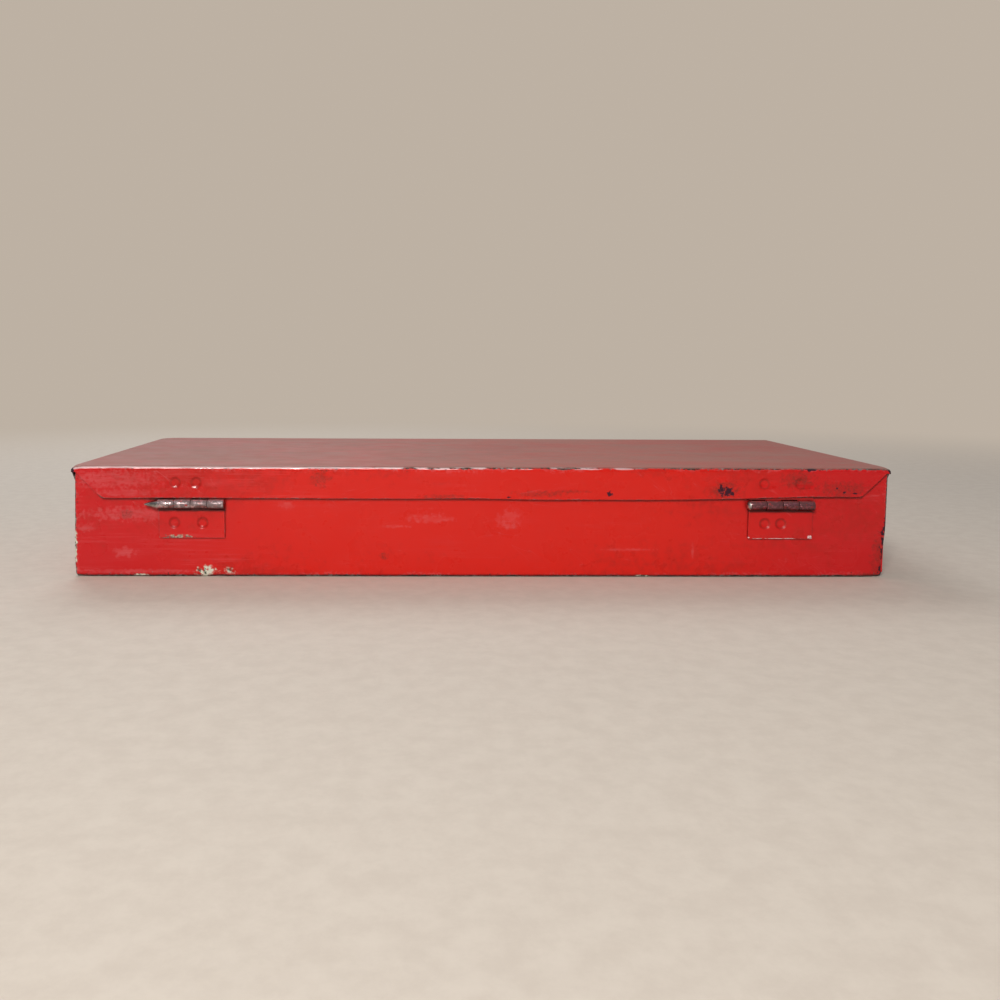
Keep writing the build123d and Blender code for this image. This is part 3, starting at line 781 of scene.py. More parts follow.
# %% Fold the base
base_places = (
    places_along(base_half[0], BASE_BEND, PLATE_STEP),
    places_along(base_half[1], BASE_BEND, PLATE_STEP, [-weld_y, weld_y]),
)
base_shell = folded_pan(
    "base_shell", base_half, BASE_BEND, wall_rows, base_places, base_to_frame, base_shape
)
thicken(base_shell, 0.12 * MM)
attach(base_shell, "base")
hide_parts("base_pan")
print("base skin:", len(base_shell.data.vertices), "points")

# %% [markdown]
# ## Tabs inside the corners
# The front and back walls are joined to the end walls by tabs, folded round the corner and spot
# welded from outside. With the lid open they show as thin plates in the four corners. Each is a small
# rounded outline, laid on the wall and given the sheet's thickness.

# %% Cut the corner tabs
TAB_LENGTH = 18.0 * MM
TAB_ROUND = 4.0 * MM
TAB_CORNER_STEPS = 6


def tab_outline(low, high):
    """A plate's outline in a wall's plane, with its two free corners rounded."""
    outline = [(low[0], low[1]), (low[0], high[1])]
    for centre_z, start in ((high[1] - TAB_ROUND, 90), (low[1] + TAB_ROUND, 0)):
        for step in range(TAB_CORNER_STEPS + 1):
            turn = math.radians(start - 90 * step / TAB_CORNER_STEPS)
            along = high[0] - TAB_ROUND + TAB_ROUND * math.cos(turn)
            outline.append((along, centre_z + TAB_ROUND * math.sin(turn)))
    return outline


tab_points, tab_faces = [], []
tab_low, tab_high = BASE_BEND + SHEET, rim - HEM_HEIGHT - 0.4 * MM
for x_side in (-1, 1):
    for y_side in (-1, 1):
        wall_x = x_side * (base_half[0] - SHEET)
        outline = tab_outline((0, tab_low), (TAB_LENGTH, tab_high))
        start = len(tab_points)
        for depth in (0, SHEET):
            for along, z in outline:
                y = y_side * (base_half[1] - SHEET - along)
                tab_points.append(splayed(Vector((wall_x - x_side * depth, y, z))))
        count = len(outline)
        front = [start + count + k for k in range(count)]
        tab_faces += [front, [start + k for k in reversed(range(count))]]
        tab_faces += [
            [start + k, start + (k + 1) % count, start + count + (k + 1) % count, start + count + k]
            for k in range(count)
        ]
tab_mesh = bpy.data.meshes.new("corner_tabs")
tab_mesh.from_pydata(tab_points, [], tab_faces)
corner_tabs = into_scene("corner_tabs", tab_mesh)
break_edges(corner_tabs, "broken_edge", 0.2 * MM, 30, harden=False)
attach(corner_tabs, "base")
print("corner tabs:", len(tab_faces), "faces")

# %% [markdown]
# ## Effects that several finishes share
# Wear follows rules that are the same on paint and on plating. Each rule is one node group with
# named values, and gives out only masks, so each finish decides itself what a worn spot looks like.
#
# The first one finds an edge. The folded pans carry their gaps as attributes, but small fittings
# don't. A Bevel node rounds the normal near an edge, and where it differs from the plain normal an
# edge is near. On flat ground the two agree, and the gap given out is then a metre, so nothing wears.

# %% Find an edge
tree, given, result = effect("edge_finder", [("Radius", NUMBER, 0.0004)], [("Gap", NUMBER)])
rounded = node(tree, "ShaderNodeBevel", {"Radius": given["Radius"]}, samples=4).outputs[0]
plain = node(tree, "ShaderNodeNewGeometry").outputs["Normal"]
agree = node(tree, "ShaderNodeVectorMath", {0: rounded, 1: plain}, operation="DOT_PRODUCT")
agree = agree.outputs["Value"]
near = fade(tree, agree, 0.82, 0.985, 0.0, times(tree, given["Radius"], 3.0))
tree.links.new(plus(tree, near, maths(tree, "GREATER_THAN", agree, 0.98)), result["Gap"])
edge_finder = tree
print("edge_finder compares rounded and plain normals")

# %% [markdown]
# ## Wear along an edge
# Paint doesn't leave an edge in an even stripe. Broad noise decides where the edge has been knocked
# at all, fine noise makes the bare line ragged, and a few specks lie beyond it. Beside the line the
# paint is still there but thin, which is a second mask.

# %% Wear an edge
tree, given, result = effect(
    "worn_edge",
    [("Vector", VECTOR, None), ("Gap", NUMBER, 1.0), ("Width", NUMBER, 0.0008), ("Specks", NUMBER, 0.5)],
    [("Worn", NUMBER), ("Thin", NUMBER)],
)
fine = cloud(tree, given["Vector"], 650.0, detail=4.0, roughness=0.65)
broad = cloud(tree, given["Vector"], 40.0, detail=3.0)
share = times(tree, fade(tree, fine, 0.36, 0.64, 0.2, 1.7), fade(tree, broad, 0.38, 0.62, 0.1, 1.4))
reach = times(tree, given["Width"], share)
line = fade(tree, given["Gap"], reach, times(tree, reach, 0.75))
grain = cloud(tree, given["Vector"], 850.0, detail=3.0)
fall = times(tree, maths(tree, "DIVIDE", given["Gap"], given["Width"]), -0.028)
chance = plus(tree, plus(tree, grain, fall), times(tree, given["Specks"], 0.1))
specks = fade(tree, chance, 0.665, 0.69)
tree.links.new(most(tree, line, specks), result["Worn"])
wide = fade(tree, given["Gap"], times(tree, reach, 3.2), reach)
tree.links.new(times(tree, wide, fade(tree, fine, 0.35, 0.6)), result["Thin"])
worn_edge = tree
print("worn_edge breaks a line with fine and broad noise")

# %% [markdown]
# ## Chips
# A blow flakes off a small ragged island. Voronoi cells give the islands: each has one random number,
# and only the highest ones become a chip, with that number as its size. Bending the cells' space with
# noise first takes away their round look, and a broad cloud gathers the chips in patches.

# %% Scatter chips
tree, given, result = effect(
    "paint_chips",
    [("Vector", VECTOR, None), ("Scale", NUMBER, 160.0), ("Amount", NUMBER, 0.3)],
    [("Chip", NUMBER), ("Halo", NUMBER)],
)
warp = node(tree, "ShaderNodeTexNoise", {"Vector": given["Vector"], "Scale": 900.0, "Detail": 3.0})
shift = grow(tree, warp.outputs["Color"], (0.0022, 0.0022, 0.0022))
bent = vectors(tree, "ADD", given["Vector"], shift)
cells = node(tree, "ShaderNodeTexVoronoi", {"Vector": bent, "Scale": given["Scale"]})
chance = node(tree, "ShaderNodeSeparateColor", {"Color": cells.outputs["Color"]}).outputs[0]
patch = cloud(tree, given["Vector"], 22.0, detail=2.0)
chance = times(tree, chance, fade(tree, patch, 0.35, 0.75, 0.35, 1.0))
limit = minus(tree, 1.0, given["Amount"])
size = times(tree, minus(tree, chance, limit), 1.1, clamp=True)
inside = minus(tree, size, cells.outputs["Distance"])
tree.links.new(fade(tree, inside, 0.0, 0.05), result["Chip"])
any_chip = maths(tree, "GREATER_THAN", size, 0.01)
tree.links.new(times(tree, fade(tree, inside, -0.06, 0.0), any_chip), result["Halo"])
paint_chips = tree
print("paint_chips scatters ragged islands")

# %% [markdown]
# ## One mark at a named place
# The marks that a viewer would know the case by can't be left to chance. This effect draws one ragged
# spot at a given place and size: the distance from its middle, with noise added, is cut off at one.
# The halo is the same with a wider limit.

# %% Place one mark
tree, given, result = effect(
    "placed_chip",
    [("Vector", VECTOR, None), ("Place", VECTOR, None), ("Reach", VECTOR, None)],
    [("Chip", NUMBER), ("Halo", NUMBER)],
)
warp = node(tree, "ShaderNodeTexNoise", {"Vector": given["Vector"], "Scale": 420.0, "Detail": 5.0})
centred = vectors(tree, "SUBTRACT", warp.outputs["Color"], (0.5, 0.5, 0.5))
away = vectors(tree, "SUBTRACT", given["Vector"], given["Place"])
gap = length(tree, vectors(tree, "DIVIDE", away, given["Reach"]))
ragged = plus(tree, gap, times(tree, parts(tree, centred)[0], 4.5))
near = fade(tree, gap, 2.2, 1.6)
tree.links.new(times(tree, fade(tree, ragged, 1.0, 0.8), near), result["Chip"])
tree.links.new(times(tree, fade(tree, ragged, 1.7, 1.0), near), result["Halo"])
placed_chip = tree
print("placed_chip puts a ragged spot at one place")

# %% [markdown]
# ## Pressed welds
# The fixed meshes of the hinge leaves have shallow welds. A bump deepens them: this mask is 1 on a
# weld's floor and 0 from its rim outwards, and soft between them, as the pressed wall is.

# %% Press a weld
tree, given, result = effect(
    "pressed_weld",
    [("Vector", VECTOR, None), ("Place", VECTOR, None), ("Radius", NUMBER, 0.0038)],
    [("Pressed", NUMBER)],
)
gap = length(tree, vectors(tree, "SUBTRACT", given["Vector"], given["Place"]))
floor_edge = times(tree, given["Radius"], 0.45)
tree.links.new(fade(tree, gap, given["Radius"], floor_edge), result["Pressed"])
pressed_weld = tree
print("pressed_weld sinks a round floor")

# %% [markdown]
# ## Hairlines and rubs
# A case is pushed along shelves and floors, so its scratches run along its walls. Noise that is
# stretched a lot in one direction has thin level lines, and each line is one long scratch. Three sets
# at slightly different angles cross each other. On an end wall, where "along" is another direction,
# the two ways are swapped first. A rub is the same noise, softer and wider.

# %% Draw hairlines
tree, given, result = effect(
    "hairlines", [("Vector", VECTOR, None)], [("Scratch", NUMBER), ("Rub", NUMBER)]
)
x, y, z = parts(tree, given["Vector"])
turned = node(tree, "ShaderNodeCombineXYZ", {0: y, 1: x, 2: z}).outputs[0]
facing = node(tree, "ShaderNodeTexCoord").outputs["Normal"]
sideways = maths(tree, "ABSOLUTE", parts(tree, facing)[0])
on_end = maths(tree, "GREATER_THAN", sideways, 0.7)
laid = node(
    tree, "ShaderNodeMix", {0: on_end, 4: given["Vector"], 5: turned}, data_type="VECTOR"
).outputs[1]
lines = []
for turn, stretch in ((4.0, (9, 260, 260)), (-11.0, (14, 340, 340)), (38.0, (22, 190, 190))):
    inputs = {"Vector": laid, "Angle": math.radians(turn)}
    rotated = node(tree, "ShaderNodeVectorRotate", inputs, rotation_type="Y_AXIS").outputs[0]
    streak = cloud(tree, grow(tree, rotated, stretch), 1.0, detail=1.0)
    thin = fade(tree, maths(tree, "ABSOLUTE", minus(tree, streak, 0.5)), 0.007, 0.002)
    broken = cloud(tree, grow(tree, rotated, (34, 70, 70)), 1.0, detail=2.0)
    lines.append(times(tree, thin, fade(tree, broken, 0.58, 0.68)))
scratch = most(tree, most(tree, lines[0], lines[1]), lines[2])
tree.links.new(scratch, result["Scratch"])
rub = cloud(tree, grow(tree, laid, (18, 460, 460)), 1.0, detail=5.0, roughness=0.72)
rub_patch = fade(tree, cloud(tree, grow(tree, laid, (13, 44, 44)), 1.0, detail=3.0), 0.48, 0.66)
tree.links.new(times(tree, fade(tree, rub, 0.47, 0.66), rub_patch), result["Rub"])
hairlines = tree
print("hairlines has", len(lines), "sets of scratches")

# %% [markdown]
# ## Painted shade in narrow corners
# The corner under a flange or beside a leaf is painted darker, as shade would fall there. The
# Ambient Occlusion node is dark just where space is narrow, and turned round it is that painted shade.

# %% Paint shade into narrow corners
tree, given, result = effect(
    "painted_crevice_shade", [("Vector", VECTOR, None), ("Reach", NUMBER, 0.003)], [("Shade", NUMBER)]
)
closed = node(tree, "ShaderNodeAmbientOcclusion", {"Distance": given["Reach"]}, samples=6).outputs["AO"]
mottled = fade(tree, cloud(tree, given["Vector"], 300.0, detail=4.0), 0.3, 0.7, 0.7, 1.0)
tree.links.new(times(tree, fade(tree, closed, 0.80, 0.40), mottled), result["Shade"])
painted_crevice_shade = tree
print("painted_crevice_shade looks for narrow corners")

# %% [markdown]
# ## Dust
# Dust lies only on what faces up, which the normal tells. It isn't even: it settles in soft clouds,
# has been wiped in streaks along the lid, and holds a little coarse grit.

# %% Settle dust
tree, given, result = effect(
    "settled_dust", [("Vector", VECTOR, None), ("Amount", NUMBER, 0.5)], [("Dust", NUMBER)]
)
facing = node(tree, "ShaderNodeTexCoord").outputs["Normal"]
up = fade(tree, parts(tree, facing)[2], 0.6, 0.97)
film = fade(tree, cloud(tree, given["Vector"], 19.0, detail=8.0, roughness=0.72), 0.28, 0.60, 0.78, 1.0)
wiped = cloud(tree, grow(tree, given["Vector"], (9, 60, 1)), 1.0, detail=6.0, roughness=0.7)
film = times(tree, film, fade(tree, wiped, 0.34, 0.60, 0.86, 1.02))
traced = cloud(tree, given["Vector"], 260.0, detail=4.0, roughness=0.7)
film = times(tree, film, fade(tree, traced, 0.36, 0.56, 0.90, 1.0))
grit = fade(tree, cloud(tree, given["Vector"], 1300.0, detail=1.0), 0.66, 0.74, 0.0, 0.35)
lying = times(tree, plus(tree, film, grit), up)
tree.links.new(times(tree, lying, given["Amount"], clamp=True), result["Dust"])
settled_dust = tree
print("settled_dust lies on faces that look up")

# %% [markdown]
# ## The marks that show on the back
# A row gives a mark's place along and up, then its reach along and up, in millimetres, read off
# against the hinges and the fold. The depth is its reach into the sheet, larger where a mark goes
# round an edge. BACK is the lid's outer face and WALL the base's. Dark chips go down to the steel,
# except one dark band down a corner that is partly painted shade. Primer chips go only to the first
# coat, and stains and scuffs lie on the paint.

# %% List the marks
BACK = lid_high.y
WALL = base_high.y


def marks_on(face, *rows, depth=4):
    """The places and reaches of marks on one face."""
    return [((x * MM, face, z * MM), (along * MM, depth * MM, up * MM)) for x, z, along, up in rows]


DARK_CHIPS_AND_CORNER_SHADE = [
    *marks_on(BACK, (-143.0, 51.4, 3.4, 3.0), (-139.5, 52.4, 2.0, 2.0), (-208.5, 53.5, 0.7, 0.6)),
    *marks_on(BACK, (-212.5, 51.2, 1.0, 0.5), (-218.5, 50.6, 1.6, 0.4), (-73.5, 49.8, 1.8, 1.5)),
    *marks_on(BACK, (-193.0, 64.5, 3.8, 0.7), (-15.0, 47.9, 1.4, 0.5)),
    *marks_on(BACK, (-240.2, 63.5, 2.0, 1.4), (240.4, 62.2, 1.8, 2.6), depth=6),
    # The left back corner of the base: a crushed bare spot, and above it a dark band that is partly painted shade
    # where the bent corner turns from the light.
    *marks_on(WALL, (-238.0, 4.0, 2.0, 5.0), depth=12),
    *marks_on(WALL, (-239.0, 20.0, 2.0, 15.0), depth=10),
]
BROWN_STAINS = [
    *marks_on(BACK, (-212.0, 53.0, 11.0, 3.4), (-142.0, 52.0, 7.0, 4.0), (96.0, 59.0, 4.2, 3.6)),
    *marks_on(BACK, (-33.0, 50.0, 11.0, 1.3), (-50.0, 51.3, 8.0, 0.8), (-185.0, 58.5, 7.0, 4.0)),
    *marks_on(BACK, (24.0, 48.0, 9.0, 1.0)),
    *marks_on(WALL, (210.0, 37.0, 3.0, 2.2), (59.0, 12.7, 1.8, 1.6), (-230.0, 1.0, 11.0, 1.0)),
    *marks_on(WALL, (-236.0, 10.0, 3.5, 11.0), depth=14),
]
PRIMER_CHIPS = [
    *marks_on(WALL, (162.8, 3.4, 4.2, 2.2), (149.7, 3.6, 1.9, 1.7), (201.0, 1.2, 3.0, 0.5)),
    *marks_on(WALL, (-95.0, 0.8, 4.0, 0.5), (239.7, 23.0, 1.0, 12.0)),
]
PALE_SCUFFS = [
    *marks_on(WALL, (-13.5, 31.0, 2.8, 0.9), (-15.0, 35.0, 5.0, 4.0), (116.0, 42.5, 3.0, 1.6)),
    *marks_on(WALL, (31.0, 34.5, 10.0, 1.6), (52.0, 30.0, 6.0, 0.6), (-124.0, 15.0, 0.6, 3.2)),
    *marks_on(WALL, (-85.0, 16.5, 12.0, 0.5), (205.0, 37.0, 20.0, 3.0), (210.8, 14.7, 4.8, 2.2)),
    *marks_on(WALL, (205.0, 3.4, 28.0, 0.8)),
    *marks_on(WALL, (233.0, 29.0, 4.2, 1.8), depth=6),
    *marks_on(BACK, (218.0, 58.0, 20.0, 3.6), (208.0, 50.0, 12.0, 1.6)),
]
print("marks:", len(DARK_CHIPS_AND_CORNER_SHADE), len(BROWN_STAINS), len(PRIMER_CHIPS), len(PALE_SCUFFS))

# %% [markdown]
# ## The red enamel
# Thick gloss paint on sheet steel, decades old. From the bottom up: steel, dark where it is bare and
# has browned; a pale primer that shows as a thin rim round a chip; and red enamel, scarlet in the
# middle and more crimson towards the ends, rubbed to pink where things have brushed past.

# %% Mix the enamel's colours
SCARLET = (0.66, 0.010, 0.004, 1)
CRIMSON = (0.53, 0.006, 0.010, 1)
BRICK = (0.42, 0.010, 0.006, 1)
RUBBED_PINK = (0.72, 0.14, 0.15, 1)
FADED_PINK = (0.75, 0.33, 0.35, 1)
# Pale pink: painted highlight on the left leaf's edge, and on the lid's back bend painted highlight with polished
# wear.
PALE_LINE = (0.86, 0.60, 0.60, 1)
STAIN = (0.110, 0.020, 0.012, 1)
# Near-black, for painted shade in narrow corners and under the hinge barrels.
PAINTED_SHADE = (0.035, 0.006, 0.006, 1)
PRIMER = (0.66, 0.64, 0.52, 1)
OLD_GREEN = (0.050, 0.075, 0.050, 1)
BARE_STEEL = (0.34, 0.30, 0.28, 1)
BROWNED_STEEL = (0.045, 0.022, 0.016, 1)
BLUED_STEEL = (0.020, 0.010, 0.022, 1)
WORN_BARREL = (0.66, 0.50, 0.51, 1)
DARK_BARREL = (0.34, 0.120, 0.145, 1)
DUST = (0.32, 0.205, 0.165, 1)


def toned_paint(tree, place):
    """Red that drifts from scarlet in the middle to crimson at the ends, with brick clouds."""
    across = maths(tree, "ABSOLUTE", parts(tree, place)[0])
    colour = blend(tree, fade(tree, across, 0.09, 0.23, 0.0, 0.85), SCARLET, CRIMSON)
    tone = cloud(tree, grow(tree, place, (8, 16, 22)), 1.0, detail=5.0)
    fleck = cloud(tree, place, 240.0, detail=4.0)
    drift = plus(tree, tone, times(tree, minus(tree, fleck, 0.5), 0.4))
    return blend(tree, fade(tree, drift, 0.50, 0.30, 0.0, 0.6), colour, BRICK)


print("the paint goes from", SCARLET[:3], "to", CRIMSON[:3])

# %% [markdown]
# ## Masks from places and gaps
# One finish has to serve a folded pan, whose gaps are attributes, and a small fitting, whose gaps
# come from edge_finder. Two short functions give either kind in the same form, and a third gathers
# any list of places into one pair of masks.


# %% Gather masks
def gathered(tree, vector, places):
    """The masks of every placed chip, as one chip mask and one halo mask."""
    chip, halo = 0.0, 0.0
    for place, reach in places:
        spot = use(tree, placed_chip, {"Vector": vector, "Place": place, "Reach": reach})
        chip = most(tree, spot["Chip"], chip)
        halo = most(tree, spot["Halo"], halo)
    return chip, halo


def sheet_gaps(tree):
    """The two gap attributes of a folded pan: to a fold's crown and to a cut edge."""
    labels = ("crown_gap", "cut_gap")
    return [node(tree, "ShaderNodeAttribute", attribute_name=label).outputs["Fac"] for label in labels]


def fitting_gaps(tree):
    """The gap to the nearest edge of a small fitting, for folds and cuts alike."""
    gap = use(tree, edge_finder, {"Radius": 0.3 * MM})["Gap"]
    return gap, gap


print("pans bring their own gaps, fittings have them found")

# %% [markdown]
# ## Laying the marks on the paint
# The order is the order in which it happened: scuffs and stains first, since a chip takes them away
# with the paint. In the largest primer chips an older green coat shows in spots.


# %% Lay the marks
def placed_marks(tree, place, colour):
    """The marks of the real back, laid over a colour: their masks and the marked colour."""
    fine = cloud(tree, place, 900.0, detail=4.0, roughness=0.7)
    speckled = fade(tree, fine, 0.42, 0.58)
    brushed = cloud(tree, grow(tree, place, (110, 620, 620)), 1.0, detail=4.0, roughness=0.6)
    scuff, haze = gathered(tree, place, PALE_SCUFFS)
    scuff = times(tree, scuff, 0.04)
    scuff = plus(tree, scuff, times(tree, haze, 0.062))
    scuff = times(tree, scuff, fade(tree, brushed, 0.30, 0.70, 0.5, 1.4))
    colour = blend(tree, scuff, colour, FADED_PINK)
    stain, brown = gathered(tree, place, BROWN_STAINS)
    stain = times(tree, stain, speckled)
    stain = most(tree, stain, times(tree, brown, 0.4))
    colour = blend(tree, times(tree, stain, 0.55), colour, STAIN)
    primer, rim = gathered(tree, place, PRIMER_CHIPS)
    rim = times(tree, rim, times(tree, speckled, 0.6))
    primer = most(tree, primer, rim)
    spots = fade(tree, cloud(tree, place, 380.0, detail=3.0), 0.54, 0.62)
    colour = blend(tree, primer, colour, blend(tree, spots, PRIMER, OLD_GREEN))
    dark, _ = gathered(tree, place, DARK_CHIPS_AND_CORNER_SHADE)
    colour = blend(tree, times(tree, dark, 0.94), colour, BLUED_STEEL)
    return most(tree, dark, primer), colour


print("marks go on in four layers")

# %% [markdown]
# ## The lid's back bend
# This bend is the case's most worn line. Along its right half a pale line is painted on, partly
# polished wear and partly a painted highlight of the lamp on the bend; in the middle it is bare in
# patches, and towards the left end it still has its paint. A thin dark line of painted shade lies
# where the plate turns into the bend.


# %% Wear and painted light on the lid's back bend
def painted_shoulder_shade(tree, place, fold_gap):
    """A dark line of painted shade where the lid's plate turns into its back bend."""
    _, y, z = parts(tree, place)
    at_back = maths(tree, "GREATER_THAN", y, BACK - 1.6 * LID_BEND)
    high = maths(tree, "GREATER_THAN", z, lid_high.z - 0.6 * MM)
    band = fade(tree, fold_gap, 0.7 * MM, 1.1 * MM)
    band = times(tree, band, fade(tree, fold_gap, 2.2 * MM, 1.7 * MM))
    return times(tree, times(tree, at_back, high), band)


def pale_crown_and_highlight(tree, place, fold_gap):
    """The lid's back bend: a pale line on its right half, part wear, part painted highlight; bare chips in the
    middle.
    """
    x, y, z = parts(tree, place)
    at_back = maths(tree, "GREATER_THAN", y, BACK - 2 * LID_BEND)
    high = maths(tree, "GREATER_THAN", z, lid_high.z - 1.5 * LID_BEND)
    at_bend = times(tree, at_back, high)
    ragged = cloud(tree, grow(tree, place, (90, 500, 500)), 1.0, detail=5.0, roughness=0.65)
    whole = fade(tree, x, 0.03, 0.09)
    chance = plus(tree, ragged, times(tree, whole, 0.26))
    along = fade(tree, chance, 0.50, 0.56)
    along = times(tree, along, fade(tree, x, -0.12, -0.06))
    width = fade(tree, ragged, 0.3, 0.7, 0.6 * MM, 1.25 * MM)
    line = fade(tree, fold_gap, width, times(tree, width, 0.6))
    return times(tree, times(tree, along, line), at_bend)


print("the back bend has its own wear")

# %% [markdown]
# ## Where a hinge is worn
# The leaves were painted with the case. Their knuckles stand proud and are knocked, so the right
# barrel is worn to bright steel, and the left one has gone dull and dark. A worn strip shows on the
# right leaf's lower edge. Two pale spots and a line on the left one's are painted highlights. Under
# each barrel a dark line is painted shadow.

# %% Wear a hinge, with its painted highlights and shadow
BARREL_WEAR = {"right": 0.40, "left": 0.39}
BARREL_STEEL = {"right": (WORN_BARREL, -0.04), "left": (DARK_BARREL, -0.02)}
# The right leaf's strip is worn paint; the left leaf's pale spots and line are painted highlights.
LEAF_WEAR_AND_HIGHLIGHT_TONES = {
    "right": ((0.16, 0.085, 0.075, 1), (0.46, 0.30, 0.22, 1)),
    "left": ((0.55, 0.30, 0.30, 1), PALE_LINE),
}
LOWER_WELD_DROP = 11.0 * MM
LOWER_WELDS = {"right": (10.2 * MM, -6.2 * MM), "left": (9.2 * MM, -0.3 * MM)}
LEAF_FACE = WALL + 1.2 * MM
leaf_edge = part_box("right_hinge_lower_leaf")[0].z / MM
LEAF_WEAR_AND_HIGHLIGHT_SPOTS = {
    "right": marks_on(BACK, (180.5, leaf_edge + 0.7, 8.5, 1.0), depth=8),
    "left": [
        *marks_on(BACK, (-193.2, leaf_edge + 0.9, 1.1, 0.9), depth=8),
        *marks_on(BACK, (-157.0, leaf_edge + 0.8, 0.5, 0.5), depth=8),
        *marks_on(BACK, (-175.0, leaf_edge + 0.2, 16.0, 0.2), depth=8),
    ],
}
weld_z = hinge_axis[2] - LOWER_WELD_DROP
leaf_welds = {
    side: [(hinge_middle[side].x + x, LEAF_FACE, weld_z) for x in LOWER_WELDS[side]] for side in SIDES
}


def worn_barrel(tree, place, side):
    """The crown of one hinge's barrel, where its paint has gone."""
    crown = fade(tree, parts(tree, place)[1], hinge_axis[1] - 1.2 * MM, hinge_axis[1] + 1.2 * MM)
    broken = cloud(tree, grow(tree, place, (300, 800, 800)), 1.0, detail=5.0, roughness=0.68)
    chance = plus(tree, broken, times(tree, crown, BARREL_WEAR[side]))
    return times(tree, fade(tree, chance, 0.74, 0.80), crown)


def leaf_wear_and_painted_light(tree, place, colour, side):
    """Spots on one lower leaf's edge (worn paint on the right, painted highlights on the left) and a painted
    shadow under its barrel, laid over a colour.
    """
    z = parts(tree, place)[2]
    # Worn spots on the right leaf, painted edge highlights on the left one.
    bright, _ = gathered(tree, place, LEAF_WEAR_AND_HIGHLIGHT_SPOTS[side])
    mixed = fade(tree, cloud(tree, place, 1100.0, detail=3.0), 0.44, 0.58)
    colour = blend(tree, bright, colour, blend(tree, mixed, *LEAF_WEAR_AND_HIGHLIGHT_TONES[side]))
    # Painted shadow: a dark band just under the barrel.
    painted_barrel_shadow = fade(tree, z, hinge_axis[2] - 4.8 * MM, hinge_axis[2] - 3.2 * MM)
    below = fade(tree, z, hinge_axis[2] - 1.0 * MM, hinge_axis[2] - 2.2 * MM)
    painted_barrel_shadow = times(tree, painted_barrel_shadow, below)
    return blend(tree, times(tree, painted_barrel_shadow, 0.9), colour, PAINTED_SHADE)


print("leaf welds:", sum(len(places) for places in leaf_welds.values()))

# %% [markdown]
# ## From masks to a surface
# The same masks that change the colour also change gloss and metal, and sink the chips below the
# paint. Enamel is glossy under a thin clear coat, a rubbed patch is duller, and dust is dull and hides
# the coat. The bump holds four things: the paint's faint orange peel, the depth of a chip, pits in
# browned steel, and scratches.


# %% Build the enamel's surface
def enamel_surface(tree, place, masks, colour, bare_rough, weld_bump):
    """The Principled shader of an enamel, with its gloss, coat and bump worked out from its masks."""
    chipped, lying, scratched = masks["chipped"], masks["lying"], masks["scratched"]
    rough = fade(tree, cloud(tree, place, 60.0, detail=4.0), 0.3, 0.7, 0.24, 0.36)
    rough = plus(tree, rough, times(tree, masks["rubbed"], 0.2))
    rough = plus(tree, rough, times(tree, chipped, bare_rough))
    rough = plus(tree, rough, times(tree, lying, 0.5), clamp=True)
    peel = times(tree, cloud(tree, place, 620.0, detail=2.0), 0.008)
    sunk = times(tree, chipped, -0.08)
    pitted = times(tree, times(tree, masks["rust"], masks["worn"]), 0.03)
    height = plus(tree, plus(tree, peel, sunk), pitted)
    height = minus(tree, height, times(tree, scratched, 0.008))
    height = minus(tree, height, times(tree, masks["pressed"], weld_bump))
    bump = node(tree, "ShaderNodeBump", {"Height": height, "Distance": MM, "Strength": 1.0})
    clean = minus(tree, 1.0, most(tree, chipped, lying), clamp=True)
    inputs = {
        "Base Color": colour,
        "Metallic": times(tree, masks["metal"], minus(tree, 1.0, lying)),
        "Roughness": rough,
        "Normal": bump.outputs[0],
        "Coat Weight": fade(tree, clean, 0.25, 1.0, 0.0, 0.35),
        "Coat Roughness": 0.12,
        "Specular IOR Level": 0.2,
    }
    return node(tree, "ShaderNodeBsdfPrincipled", inputs).outputs[0]


print("chips sink the bump, and dust hides the coat")
